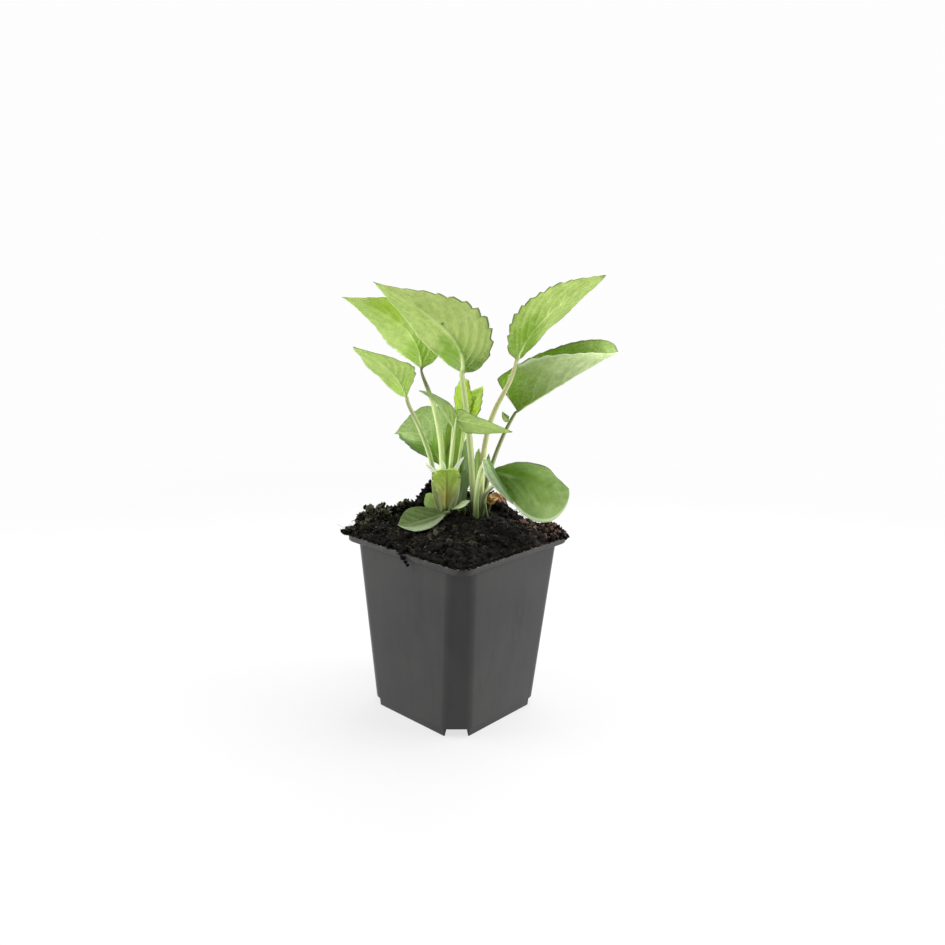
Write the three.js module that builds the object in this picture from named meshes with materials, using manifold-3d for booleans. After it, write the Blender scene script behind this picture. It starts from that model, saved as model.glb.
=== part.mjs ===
// A young purple coneflower (Echinacea purpurea) in a square nursery pot: two crowns of leaves, before any flower stem.
// Millimetres, +Z up. The origin is on the standing surface, on the pot's axis, and the pot's sides run along X and Y.
import * as THREE from 'three';
import { mergeVertices } from 'three/addons/utils/BufferGeometryUtils.js';
import Module from 'manifold-3d';

const wasm = await Module();
wasm.setup();

// ---- driving dimensions ----
const POT_HEIGHT = 100;
const RIM_SIDE = 90; // across the flats, outside
const RIM_CORNER_RADIUS = 8;
const RIM_LIP_HEIGHT = 3.7;
const BODY_SIDE_TOP = 85.8; // under the rim
const BODY_SIDE_BOTTOM = 72.5; // above the foot
const FOOT_SIDE = 69.4;
const FOOT_HEIGHT = 5.2;
const FOOT_WIDTH = 1.7;
const CHAMFER_TOP = 13.0; // width of the flat across each corner
const CHAMFER_BOTTOM = 13.8;
const WALL = 1.3;
const BASE_UNDERSIDE = 4.4;
const BASE_THICKNESS = 1.4;
const DRAIN_HOLE_RADIUS = 3.5;
const DRAIN_HOLE_SPACING = 17; // from the axis, along X and Y
const GAP = 0.3; // between pieces that touch
const SOIL_CENTRE_HEIGHT = 108.5;
const SOIL_EDGE_HEIGHT = 100.8;
const STEM_HOLE_TOP = 126;
const BLADE_THICKNESS = 0.7;

// Leaves. Places are [x, y, z]. collar is where the stem meets the blade, handles are the stem's curve, and bend is the
// midrib's curve. upper is the way the upper surface faces, fold raises each half about the midrib and curl bends it on
// towards the margin, in degrees, left half first, and twist turns the blade about its midrib from end to end. early and
// taper set where a blade is widest and how drawn out its tip is. lobe draws the base of each half back past the collar.
// A blade without teeth has plain stations instead.
const LEAVES = [
  {
    name: 'leaf_tall_centre',
    colour: '#9cbc60',
    root: [1, 12, 101],
    handles: [[-2.5, 15.5, 130.5], [4.5, 0, 170]],
    stemRadius: [1.9, 1.25],
    collar: [2, -2, 189.5],
    bend: [2, 8, 210],
    tip: [-29, -37, 236.5],
    halfWidth: 23.5,
    early: 0.72,
    taper: 1.14,
    upper: [-0.33, 0.85, 0.41],
    fold: [7, 13],
    curl: [11, 7],
    lobe: [0.25, 0],
    teeth: 11,
  },
  {
    name: 'leaf_tall_left',
    colour: '#98bb5a',
    root: [-17, 4.5, 101],
    handles: [[-16.5, 8.5, 166.5], [-26, -2, 179]],
    stemRadius: [1.4, 1.2],
    collar: [-29, -1.5, 188.5],
    bend: [-34.5, 6, 216],
    tip: [-62.5, -30, 227.5],
    halfWidth: 20.5,
    early: 0.6,
    taper: 1.21,
    upper: [-0.34, 0.87, 0.35],
    fold: [8, 12],
    curl: [-4, 5],
    twist: -5,
    teeth: 10,
  },
  {
    name: 'leaf_small_left',
    colour: '#a0bf68',
    root: [-20, 2.5, 101],
    handles: [[-17, 5, 143], [-13.5, -29, 173.5]],
    stemRadius: [1.2, 0.85],
    collar: [-11.5, -29, 177.5],
    bend: [-18, -30, 194.5],
    tip: [-15.5, -62, 205.5],
    halfWidth: 14.5,
    early: 0.95,
    taper: 1.14,
    upper: [-0.07, 0.65, 0.76],
    fold: [8, 7],
    curl: [-2, -10],
    teeth: 7,
  },
  {
    name: 'leaf_tall_right',
    colour: '#98bf54',
    root: [4, 15.5, 101],
    handles: [[0.5, 12, 176], [21, 14, 173]],
    stemRadius: [1.6, 1.3],
    collar: [23.5, 17, 197],
    bend: [29, 21, 222],
    tip: [53.5, 52, 243],
    halfWidth: 19.5,
    early: 0.69,
    taper: 0.85,
    upper: [-0.85, 0.07, 0.51],
    fold: [12, 3],
    curl: [-7, 7],
    lobe: [0.2, 0],
    teeth: 11,
  },
  {
    name: 'leaf_long_right',
    colour: '#86a357',
    root: [1, 19, 101],
    handles: [[-1, 19.5, 137], [10, 35.5, 167.5]],
    stemRadius: [1.4, 1.1],
    collar: [10.5, 34, 166.5],
    bend: [56, 36.5, 196],
    tip: [56, 64, 202.5],
    halfWidth: 24.5,
    early: 0.51,
    taper: 0.61,
    upper: [-0.41, -0.37, 0.83],
    fold: [42, 35],
    curl: [26, 21],
    twist: 45,
    lobe: [0.1, 0.4],
    teeth: 10,
  },
  {
    name: 'leaf_slim_left',
    colour: '#86a06a',
    root: [-16.5, 9, 101],
    handles: [[-16.5, 8.5, 120], [-13, 7, 142]],
    stemRadius: [1.1, 0.8],
    collar: [-10, 5, 158.5],
    bend: [-12.5, -0.5, 173],
    tip: [-21.5, -10.5, 179],
    halfWidth: 7.5,
    early: 0.62,
    taper: 0.93,
    upper: [0.02, 0.8, 0.61],
    fold: [8, 16],
    curl: [7, -1],
    stations: 10,
  },
  {
    name: 'leaf_slim_right',
    colour: '#9cbb72',
    root: [-13, 6.5, 101],
    handles: [[-12.5, 8.5, 135], [-7.5, -1.5, 130.5]],
    stemRadius: [1.2, 0.9],
    collar: [1, -4, 165.5],
    bend: [4, -2, 164.5],
    tip: [36.5, 0, 163],
    halfWidth: 9,
    early: 0.55,
    taper: 0.83,
    upper: [-0.05, 0.82, 0.57],
    fold: [4, 0],
    curl: [-8, -7],
    stations: 10,
  },
  {
    name: 'leaf_young_bright',
    colour: '#a5c83c',
    root: [-14, 10, 101],
    handles: [[-13.5, 9, 120], [-8.5, 10.5, 142]],
    stemRadius: [1.1, 0.8],
    collar: [-6.5, 9.5, 159],
    bend: [-11.5, 11, 182],
    tip: [-4.5, 7, 189],
    halfWidth: 7.5,
    early: 0.8,
    taper: 0.79,
    upper: [0, 1, 0.09],
    fold: [6, 11],
    curl: [5, -7],
    teeth: 5,
  },
  {
    name: 'leaf_young_side',
    colour: '#8fb04c',
    root: [-18, 12, 101],
    handles: [[-17.5, 11, 122.5], [-9, 12, 144.5]],
    stemRadius: [0.9, 0.7],
    collar: [-8, 13, 157.5],
    bend: [0, 10, 178.5],
    tip: [0.5, 17, 181.5],
    halfWidth: 7.5,
    early: 0.64,
    taper: 0.9,
    upper: [0.29, 0.92, -0.25],
    fold: [11, 9],
    curl: [9, 12],
    stations: 9,
  },
  {
    name: 'leaf_round_back',
    colour: '#7a9f48',
    root: [-22, 8, 101],
    handles: [[-21.5, 8.5, 112.5], [-20.5, 8, 123.5]],
    stemRadius: [1.2, 1],
    collar: [-21.5, 7.5, 134],
    bend: [-33.5, 10.5, 156],
    tip: [-56, 4, 148.5],
    halfWidth: 18.5,
    early: 0.95,
    taper: 1.11,
    upper: [0.37, -0.55, 0.75],
    fold: [28, 32],
    curl: [16, 9],
    twist: 11,
    teeth: 7,
  },
  {
    name: 'leaf_round_right',
    colour: '#729a54',
    root: [6, 9, 101],
    handles: [[4.5, 6.5, 125.5], [10, 8.5, 150]],
    stemRadius: [1.6, 1.5],
    collar: [14.5, 8, 137.5],
    bend: [53, 17.5, 130],
    tip: [59, 21, 133.5],
    halfWidth: 20.5,
    early: 0.94,
    taper: 0.93,
    upper: [0.23, -0.89, -0.39],
    fold: [7, 13],
    curl: [21, 8],
    twist: 1,
    teeth: 8,
  },
  {
    name: 'leaf_low_front',
    colour: '#7d9a66',
    root: [-12.5, -3, 101],
    handles: [[-11.5, -3, 108], [-2.5, -0.5, 114]],
    stemRadius: [1.1, 1],
    collar: [-4.5, -5, 112.5],
    bend: [-13, -26, 107],
    tip: [-15, -31.5, 108.5],
    halfWidth: 8.5,
    early: 0.83,
    taper: 1.02,
    upper: [0.72, -0.37, 0.58],
    fold: [26, 15],
    curl: [18, 11],
    stations: 10,
  },
  {
    name: 'leaf_young_front',
    colour: '#9dbd5c',
    root: [-11, 1, 101],
    handles: [[-11, 0.5, 108], [-10, 0.5, 108.5]],
    stemRadius: [1.5, 1.5],
    collar: [-9.5, 0, 113],
    bend: [-6, -3, 134.5],
    tip: [-2.5, -7.5, 137.5],
    halfWidth: 8.5,
    early: 0.96,
    taper: 0.96,
    upper: [-0.73, 0.58, 0.37],
    fold: [16, 21],
    curl: [9, 13],
    stations: 10,
  },
  {
    name: 'leaf_round_small',
    colour: '#7f9b5a',
    root: [-17.5, -2, 101],
    handles: [[-17.5, -2, 107.5], [-12.5, -1, 109.5]],
    stemRadius: [0.9, 0.8],
    collar: [-14, -1.5, 112],
    bend: [-21, -3, 117],
    tip: [-24, -1.5, 119],
    halfWidth: 5,
    early: 0.94,
    taper: 1.18,
    upper: [-0.03, -0.99, -0.15],
    fold: [8, -4],
    curl: [25, 1],
    stations: 8,
  },
  {
    name: 'leaf_low_pale',
    colour: '#a9bd84',
    root: [-8, 4, 101],
    handles: [[-8, 4, 108], [-8, 2.5, 111]],
    stemRadius: [0.8, 0.7],
    collar: [-7, 1.5, 113],
    bend: [-2, 4, 114],
    tip: [2, 7.5, 118.5],
    halfWidth: 3.5,
    early: 1.5,
    taper: 0.99,
    upper: [0, -0.42, 0.91],
    fold: [8, 11],
    curl: [0, 10],
    stations: 8,
    cells: [0, 1],
  },
  {
    name: 'leaf_withered',
    colour: '#a88a4c',
    root: [6, 19.5, 101],
    handles: [[6, 19.5, 108], [3.5, 21, 109.5]],
    stemRadius: [0.9, 0.8],
    collar: [3.5, 22.5, 113],
    bend: [5.5, 23, 119.5],
    tip: [9.5, 30, 115.5],
    halfWidth: 3.5,
    early: 0.8,
    taper: 0.7,
    upper: [0.03, -0.7, 0.72],
    fold: [35, 30],
    curl: [50, 60],
    stations: 8,
  },
  {
    name: 'leaf_young_grey',
    colour: '#829a86',
    root: [-5, 11.5, 101],
    handles: [[-5.5, 11.5, 112.5], [-9.5, 12.5, 113.5]],
    stemRadius: [1.3, 1.1],
    collar: [-10, 13, 120],
    bend: [-11.5, 15.5, 137],
    tip: [-7, 16.5, 154.5],
    halfWidth: 4,
    early: 0.8,
    taper: 0.8,
    upper: [-0.59, 0.8, -0.03],
    fold: [20, 20],
    curl: [10, 10],
    stations: 8,
    cells: [0, 1],
  },
  {
    name: 'shoot_tip_centre',
    colour: '#7a985c',
    root: [-2, 15, 101],
    handles: [[-1.5, 15, 117.5], [0, 15, 119]],
    stemRadius: [0.9, 0.8],
    collar: [-0.5, 15.5, 128.5],
    bend: [-1.5, 16, 137],
    tip: [1, 14.5, 147],
    halfWidth: 2,
    early: 0.7,
    taper: 0.9,
    upper: [-0.51, 0.85, 0.1],
    fold: [15, 15],
    curl: [10, 10],
    stations: 7,
    cells: [0, 1],
  },
  {
    name: 'shoot_tip_right',
    colour: '#7a985c',
    root: [-2.5, 18, 101],
    handles: [[-2.5, 19, 116.5], [-2.5, 24, 117.5]],
    stemRadius: [0.9, 0.8],
    collar: [-2, 24.5, 127],
    bend: [-1.5, 25, 134],
    tip: [-0.5, 25, 142.5],
    halfWidth: 1.5,
    early: 0.7,
    taper: 0.9,
    upper: [-0.52, 0.85, 0.02],
    fold: [15, 15],
    curl: [10, 10],
    stations: 7,
    cells: [0, 1],
  },
  {
    name: 'shoot_stalk_right',
    colour: '#a9bd84',
    root: [10.5, 15.5, 101],
    handles: [[9.5, 14.5, 109.5], [6, 11.5, 118.5]],
    stemRadius: [0.8, 0.7],
    collar: [9, 15, 124],
    bend: [10, 16, 126],
    tip: [11.5, 16.5, 128],
    halfWidth: 1,
    early: 0.7,
    taper: 0.9,
    upper: [0.51, -0.86, 0.03],
    fold: [15, 15],
    curl: [10, 10],
    stations: 6,
    cells: [0, 1],
  },
];

// A leaflet that grows from the stem of the long leaf, described as the leaves are.
const LEAFLET = {
  root: [8.6, 32.2, 161.5],
  handles: [[8.6, 31.8, 161.7], [8.4, 31.3, 161.9]],
  stemRadius: [0.5, 0.5],
  collar: [8.2, 31, 162],
  bend: [6.7, 29.4, 162.6],
  tip: [6.1, 27.9, 166.9],
  halfWidth: 1.7,
  early: 0.9,
  taper: 0.9,
  upper: [0.3, 0.6, -0.7],
  fold: [20, 20],
  curl: [10, 10],
  stations: 6,
  cells: [0, 1],
};

// ---- closed bodies from rings ----

// A closed skin over rings of equal count, with a fan over the first and the last. From crossed on, a ring's quads are
// split along their other diagonal, so that both faces of a blade, or a wall and what fills it, are split alike.
function loft(rings, crossed = Infinity) {
  const count = rings[0].length;
  const positions = rings.flat().flatMap((p) => [p.x, p.y, p.z]);
  const index = [];
  for (let i = 0; i + 1 < rings.length; i++) {
    for (let j = 0; j < count; j++) {
      const a = i * count + j;
      const b = i * count + ((j + 1) % count);
      const c = a + count;
      const d = b + count;
      if (j < crossed) index.push(a, b, d, a, d, c);
      else index.push(a, b, c, b, d, c);
    }
  }
  for (const [start, turn] of [[0, -1], [(rings.length - 1) * count, 1]]) {
    const centre = new THREE.Vector3();
    for (let j = 0; j < count; j++) centre.add(new THREE.Vector3().fromArray(positions, 3 * (start + j)));
    centre.divideScalar(count);
    const hub = positions.length / 3;
    positions.push(centre.x, centre.y, centre.z);
    for (let j = 0; j < count; j++) {
      const a = start + j;
      const b = start + ((j + 1) % count);
      if (turn > 0) index.push(hub, a, b);
      else index.push(hub, b, a);
    }
  }
  const geometry = new THREE.BufferGeometry();
  geometry.setAttribute('position', new THREE.Float32BufferAttribute(positions, 3));
  geometry.setIndex(index);
  if (signedVolume(geometry) < 0) geometry.setIndex(index.reverse());
  return geometry;
}

function signedVolume(geometry) {
  const at = (k) => new THREE.Vector3().fromBufferAttribute(geometry.attributes.position, geometry.index.getX(k));
  let volume = 0;
  for (let k = 0; k < geometry.index.count; k += 3) {
    volume += at(k).dot(at(k + 1).cross(at(k + 2))) / 6;
  }
  return volume;
}

function solidOf(geometry) {
  const bare = geometry.clone();
  bare.deleteAttribute('normal');
  bare.deleteAttribute('uv');
  const merged = mergeVertices(bare, 1e-4);
  const vertProperties = new Float32Array(merged.attributes.position.array);
  const triVerts = new Uint32Array(merged.index.array);
  return new wasm.Manifold(new wasm.Mesh({ numProp: 3, vertProperties, triVerts }));
}

function geometryOf(solid) {
  const mesh = solid.getMesh();
  const geometry = new THREE.BufferGeometry();
  geometry.setAttribute('position', new THREE.BufferAttribute(new Float32Array(mesh.vertProperties), 3));
  geometry.setIndex(new THREE.BufferAttribute(new Uint32Array(mesh.triVerts), 1));
  return geometry;
}

const lerp = THREE.MathUtils.lerp;
const smooth = THREE.MathUtils.smoothstep;
const radians = THREE.MathUtils.degToRad;

// ---- the pot ----

const CORNER_STEPS = 5;

// One level of the pot: a square of the given half side whose corners are cut off, straight or as an arc.
function potRing(half, cut, z, { round = false, steps = CORNER_STEPS } = {}) {
  const ring = [];
  for (let corner = 0; corner < 4; corner++) {
    const turn = (corner * Math.PI) / 2;
    for (let k = 0; k <= steps; k++) {
      const t = k / steps;
      const angle = (t * Math.PI) / 2;
      const x = round ? half - cut + cut * Math.cos(angle) : half - cut * t;
      const y = round ? half - cut + cut * Math.sin(angle) : half - cut * (1 - t);
      ring.push(new THREE.Vector3(x, y, z).applyAxisAngle(new THREE.Vector3(0, 0, 1), turn));
    }
  }
  return ring;
}

const chamferLeg = (width) => width / Math.SQRT2;
const RIM_UNDERSIDE = POT_HEIGHT - RIM_LIP_HEIGHT;
const BASE_TOP = BASE_UNDERSIDE + BASE_THICKNESS;
const RIM_HALF = RIM_SIDE / 2;
const BODY_TOP_HALF = BODY_SIDE_TOP / 2;
const BODY_BOTTOM_HALF = BODY_SIDE_BOTTOM / 2;
const FOOT_HALF = FOOT_SIDE / 2;
const TOP_LEG = chamferLeg(CHAMFER_TOP);
const BOTTOM_LEG = chamferLeg(CHAMFER_BOTTOM);
const RIM_WALL = 1.5;
const LIP_ROUNDING = 0.4;

// The inside of the pot from the rim down, each level as half side, corner leg and height. The soil follows it too.
const POT_INSIDE = [
  { half: RIM_HALF - RIM_WALL, cut: RIM_CORNER_RADIUS - RIM_WALL, z: POT_HEIGHT, round: true },
  { half: RIM_HALF - RIM_WALL, cut: RIM_CORNER_RADIUS - RIM_WALL, z: RIM_UNDERSIDE + 1.4, round: true },
  { half: BODY_TOP_HALF - WALL, cut: TOP_LEG - 0.6, z: RIM_UNDERSIDE + 0.2, round: false },
  { half: BODY_BOTTOM_HALF - WALL, cut: BOTTOM_LEG - 0.6, z: FOOT_HEIGHT + 1.8, round: false },
  { half: FOOT_HALF - FOOT_WIDTH, cut: BOTTOM_LEG - 0.6, z: BASE_TOP, round: false },
];

function potShell() {
  const ring = ({ half, cut, z, round }) => potRing(half, cut, z, { round });
  return loft([
    potRing(FOOT_HALF - FOOT_WIDTH, BOTTOM_LEG - 0.6, BASE_UNDERSIDE),
    potRing(FOOT_HALF - FOOT_WIDTH, BOTTOM_LEG - 0.6, 0),
    potRing(FOOT_HALF - 0.3, BOTTOM_LEG, 0),
    potRing(FOOT_HALF, BOTTOM_LEG, 0.4),
    potRing(FOOT_HALF + 0.3, BOTTOM_LEG, FOOT_HEIGHT - 0.5),
    potRing(BODY_BOTTOM_HALF, BOTTOM_LEG, FOOT_HEIGHT),
    potRing(BODY_TOP_HALF, TOP_LEG, RIM_UNDERSIDE),
    potRing(RIM_HALF - LIP_ROUNDING, RIM_CORNER_RADIUS, RIM_UNDERSIDE + 0.3, { round: true }),
    potRing(RIM_HALF, RIM_CORNER_RADIUS, RIM_UNDERSIDE + 0.3 + LIP_ROUNDING, { round: true }),
    potRing(RIM_HALF, RIM_CORNER_RADIUS, POT_HEIGHT - LIP_ROUNDING, { round: true }),
    potRing(RIM_HALF - LIP_ROUNDING, RIM_CORNER_RADIUS - LIP_ROUNDING, POT_HEIGHT, { round: true }),
    ...POT_INSIDE.map(ring),
  ]);
}

// The notch under each corner of the foot, a trapezium seen from outside, which lets water drain away.
function cornerNotch(corner) {
  const halfTop = CHAMFER_BOTTOM / 2 - 1.6;
  const halfBottom = CHAMFER_BOTTOM / 2 - 0.4;
  const outline = new THREE.Shape([
    new THREE.Vector2(-halfBottom, -1),
    new THREE.Vector2(halfBottom, -1),
    new THREE.Vector2(halfTop, FOOT_HEIGHT - 0.2),
    new THREE.Vector2(-halfTop, FOOT_HEIGHT - 0.2),
  ]);
  const notch = new THREE.ExtrudeGeometry(outline, { depth: 12, bevelEnabled: false });
  const footCorner = FOOT_HALF * Math.SQRT2 - CHAMFER_BOTTOM / 2;
  notch.rotateX(Math.PI / 2);
  notch.translate(0, footCorner + 8.6, 0);
  notch.rotateZ(Math.PI / 4 + (corner * Math.PI) / 2);
  return notch;
}

function drainHole(x, y) {
  const hole = new THREE.CylinderGeometry(DRAIN_HOLE_RADIUS, DRAIN_HOLE_RADIUS, 4 * BASE_THICKNESS, 16);
  hole.rotateX(Math.PI / 2);
  hole.translate(x, y, BASE_UNDERSIDE + BASE_THICKNESS / 2);
  return hole;
}

function potGeometry() {
  let pot = solidOf(potShell());
  for (let corner = 0; corner < 4; corner++) pot = pot.subtract(solidOf(cornerNotch(corner)));
  for (const [sx, sy] of [[0, 0], [1, 0], [0, 1], [-1, 0], [0, -1]]) {
    pot = pot.subtract(solidOf(drainHole(sx * DRAIN_HOLE_SPACING, sy * DRAIN_HOLE_SPACING)));
  }
  return geometryOf(pot);
}

// ---- the soil ----

// Small clods over the whole surface, each [x, y, radius, height], from a seeded draw.
function clods(count, seed) {
  let state = seed;
  const draw = () => {
    state = (state * 16807) % 2147483647;
    return state / 2147483647;
  };
  const list = [];
  for (let k = 0; k < count; k++) {
    list.push([lerp(-43, 43, draw()), lerp(-43, 43, draw()), lerp(2.4, 5.5, draw()), lerp(-0.7, 1.7, draw())]);
  }
  return list;
}

const CLODS = clods(70, 11);

// Broad heaps: the bank along the pot's -X side, the ridge behind the crowns, and the hollows under the low leaves, each
// [x, y, radius, height].
const HEAPS = [
  [-44, -28, 8, 6.5],
  [-44, -14, 9, 4.5],
  [-44, 4, 10, 3],
  [-31, 12.5, 7.5, 11],
  [-19, 23.5, 9.5, 9],
  [-5, 32, 9, 12],
  [4, 31, 8, 6],
  [-7.5, -24, 11, -3.6],
  [-25, 2, 5, -2],
  [2, 22, 4, -1],
];

function soilHeight(x, y) {
  const edge = RIM_HALF - Math.max(Math.abs(x), Math.abs(y));
  let z = SOIL_EDGE_HEIGHT + 3.4 * smooth(edge, 0.5, 9) + (SOIL_CENTRE_HEIGHT - SOIL_EDGE_HEIGHT - 3.4) * smooth(edge, 4, 32);
  for (const [cx, cy, radius, height] of [...HEAPS, ...CLODS]) {
    z += height * Math.exp(-((x - cx) ** 2 + (y - cy) ** 2) / radius ** 2) * smooth(edge, 0.4, 3);
  }
  return z;
}

const SOIL_SIDE_STEPS = 6;
const SOIL_RINGS = 12;

// The soil's outline at one level, with points along its straight sides as well as its corners.
function soilRing(half, cut, z, round) {
  const corners = potRing(half, cut, z, { round, steps: CORNER_STEPS });
  const perCorner = CORNER_STEPS + 1;
  const ring = [];
  corners.forEach((point, k) => {
    ring.push(point);
    if (k % perCorner !== perCorner - 1) return;
    const next = corners[(k + 1) % corners.length];
    for (let s = 1; s < SOIL_SIDE_STEPS; s++) ring.push(point.clone().lerp(next, s / SOIL_SIDE_STEPS));
  });
  return ring;
}

function soilBody() {
  const inside = [...POT_INSIDE].reverse();
  const rings = inside.map(({ half, cut, z, round }) => soilRing(half - GAP, cut, Math.min(z + GAP, POT_HEIGHT), round));
  const top = rings.at(-1);
  rings.push(soilRing(RIM_HALF - RIM_WALL - GAP, RIM_CORNER_RADIUS - RIM_WALL, POT_HEIGHT + GAP, true));
  rings.push(soilRing(RIM_HALF - 0.7, RIM_CORNER_RADIUS - 0.7, POT_HEIGHT + GAP + 0.05, true));
  for (let k = 0; k < SOIL_RINGS; k++) {
    const scale = 1 - (k + 0.25) / SOIL_RINGS;
    rings.push(top.map((p) => new THREE.Vector3(p.x * scale, p.y * scale, soilHeight(p.x * scale, p.y * scale))));
  }
  return loft(rings, 0);
}

// A plain hole for a stem: the stem itself a gap wider, from just under its end to above the soil.
function stemHole(leaf) {
  const rings = stemRings(leaf, GAP + 0.05);
  const foot = rings[0].map((p) => p.clone().setZ(p.z - GAP - 0.05));
  const top = rings.findIndex((ring) => ring[0].z > STEM_HOLE_TOP);
  return loft([foot, ...(top > 0 ? rings.slice(0, top + 1) : rings)]);
}

function soilGeometry() {
  let soil = solidOf(soilBody());
  for (const leaf of LEAVES) soil = soil.subtract(solidOf(stemHole(leaf)));
  return geometryOf(soil);
}

// ---- leaves ----

const vector = (p) => new THREE.Vector3(...p);

function stemCurve(leaf) {
  return new THREE.CubicBezierCurve3(...[leaf.root, ...leaf.handles, leaf.collar].map(vector));
}

function midribCurve(leaf) {
  return new THREE.QuadraticBezierCurve3(...[leaf.collar, leaf.bend, leaf.tip].map(vector));
}

// The upward normal of a blade or stem at a direction: the part of a reference that is square to it.
function squareTo(reference, direction) {
  return reference.clone().addScaledVector(direction, -reference.dot(direction)).normalize();
}

// Half of a blade's cross-section at s from the midrib (0) to the margin (1), for a half width of 1.
function section(s, fold, curl) {
  const angle = fold + curl * s;
  if (Math.abs(curl) < 1e-3) return { x: s * Math.cos(fold), h: s * Math.sin(fold), angle };
  return { x: (Math.sin(angle) - Math.sin(fold)) / curl, h: (Math.cos(fold) - Math.cos(angle)) / curl, angle };
}

// Where a blade's cross-sections stand along the midrib, 0 to 1, and how much of the half width is cut away there: a
// tooth rises slowly from one notch to its point and drops back quickly, so it points to the tip.
function bladeStations({ teeth, stations }) {
  if (!teeth) {
    return Array.from({ length: stations }, (_, k) => ({ t: lerp(0.02, 0.985, k / (stations - 1)), notch: 0 }));
  }
  const list = [0.015, 0.05, 0.1].map((t) => ({ t, notch: 0 }));
  const from = 0.14;
  const pitch = (0.95 - from) / teeth;
  for (let k = 0; k < teeth; k++) {
    list.push({ t: from + pitch * k, notch: TOOTH_DEPTH });
    list.push({ t: from + pitch * (k + 0.74), notch: 0 });
  }
  list.push({ t: 0.955, notch: TOOTH_DEPTH }, { t: 0.985, notch: 0 });
  return list;
}

const TOOTH_DEPTH = 0.085;
const RIB_WIDTH = 0.09; // of the half width
const STEM_STATIONS = 7;

function halfWidthAt(leaf, t) {
  const swell = Math.sin(Math.PI * t ** leaf.early) ** leaf.taper;
  return Math.max(leaf.halfWidth * swell, leaf.stemRadius[1] * (1 - t));
}

// Where a cross-section has its points, from the left margin (-1) over the midrib to the right margin (1).
function acrossOf(leaf) {
  const cells = leaf.cells ?? [0, RIB_WIDTH, 0.54, 1];
  return [...cells.slice(1).reverse().map((s) => -s), ...cells];
}

// The stem's rings from its foot in the soil to its collar, each a circle grown by a margin.
function stemRings(leaf, grown) {
  const points = acrossOf(leaf).length;
  const stem = stemCurve(leaf);
  const rings = [];
  let up = vector(leaf.upper);
  for (let k = STEM_STATIONS; k >= 0; k--) {
    const t = k / (STEM_STATIONS + 0.4);
    const along = stem.getTangent(t);
    up = squareTo(up, along);
    const side = along.clone().cross(up);
    const radius = lerp(leaf.stemRadius[0], leaf.stemRadius[1], t) + grown;
    const centre = stem.getPoint(t);
    const ring = [];
    for (let n = 0; n < 2 * points; n++) {
      const angle = Math.PI * (1 - (n + 0.5) / points);
      ring.push(centre.clone()
        .addScaledVector(side, radius * Math.cos(angle))
        .addScaledVector(up, radius * Math.sin(angle)));
    }
    rings.unshift(ring);
  }
  return rings;
}

// A whole leaf as one loft of rings, from the foot of its stem in the soil to its tip. A ring runs over the top from
// the left margin to the right, and back underneath.
function leafGeometry(leaf) {
  const across = acrossOf(leaf);
  const midrib = midribCurve(leaf);
  const upper = vector(leaf.upper);
  const rings = stemRings(leaf, 0);
  for (const { t, notch } of bladeStations(leaf)) {
    const along = midrib.getTangent(t);
    const turn = radians(leaf.twist ?? 0) * (t - 0.5);
    const bladeUp = squareTo(upper, along).applyAxisAngle(along, turn);
    const side = along.clone().cross(bladeUp);
    const centre = midrib.getPoint(t);
    const half = halfWidthAt(leaf, t);
    const over = [];
    const under = [];
    for (const s of across) {
      const which = s < 0 ? 0 : 1;
      const { x, h, angle } = section(Math.abs(s), radians(leaf.fold[which]), radians(leaf.curl[which]));
      const reach = half * (Math.abs(s) === 1 ? 1 - notch : 1);
      const back = (leaf.lobe?.[which] ?? 0) * half * (1 - t) ** 4 * Math.abs(s) ** 1.5;
      const point = centre.clone()
        .addScaledVector(side, Math.sign(s) * reach * x)
        .addScaledVector(bladeUp, reach * h)
        .addScaledVector(along, -back);
      const normal = s === 0
        ? bladeUp
        : side.clone().multiplyScalar(-Math.sign(s) * Math.sin(angle)).addScaledVector(bladeUp, Math.cos(angle));
      const ribDepth = s === 0 ? lerp(leaf.stemRadius[1] * 1.1, BLADE_THICKNESS / 2, Math.sqrt(t)) : BLADE_THICKNESS / 2;
      over.push(point.clone().addScaledVector(normal, BLADE_THICKNESS / 2));
      under.unshift(point.clone().addScaledVector(normal, -ribDepth));
    }
    rings.push([...over, ...under]);
  }
  return loft(rings, across.length);
}

function withLeaflet(leaf) {
  return geometryOf(solidOf(leafGeometry(leaf)).add(solidOf(leafGeometry(LEAFLET))));
}

// ---- the plant in its pot ----

const COLOURS = {
  pot: '#4c4d4c',
  soil: '#1d1813',
};

function piece(name, geometry, colour, roughness) {
  const material = new THREE.MeshStandardMaterial({ color: colour, roughness, metalness: 0, flatShading: true });
  const mesh = new THREE.Mesh(geometry, material);
  mesh.name = name;
  return mesh;
}

const plant = new THREE.Group();
plant.add(piece('pot', potGeometry(), COLOURS.pot, 0.55));
plant.add(piece('soil', soilGeometry(), COLOURS.soil, 0.95));
for (const leaf of LEAVES) {
  const geometry = leaf.name === 'leaf_long_right' ? withLeaflet(leaf) : leafGeometry(leaf);
  plant.add(piece(leaf.name, geometry, leaf.colour, 0.6));
}

export default plant;
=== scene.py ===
"""A young purple coneflower in its square nursery pot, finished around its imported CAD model.

Shapes are worked out in millimetres and turned into Blender's metres where a mesh is made. The part's
frame has +Z up and the pot's sides along X and Y. The camera looks at the corner between the pot's -Y
and +X sides.
"""
import math
from dataclasses import dataclass

import bmesh
import bpy
import numpy as np
from mathutils import Matrix, Vector, noise
from mathutils.bvhtree import BVHTree


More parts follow.
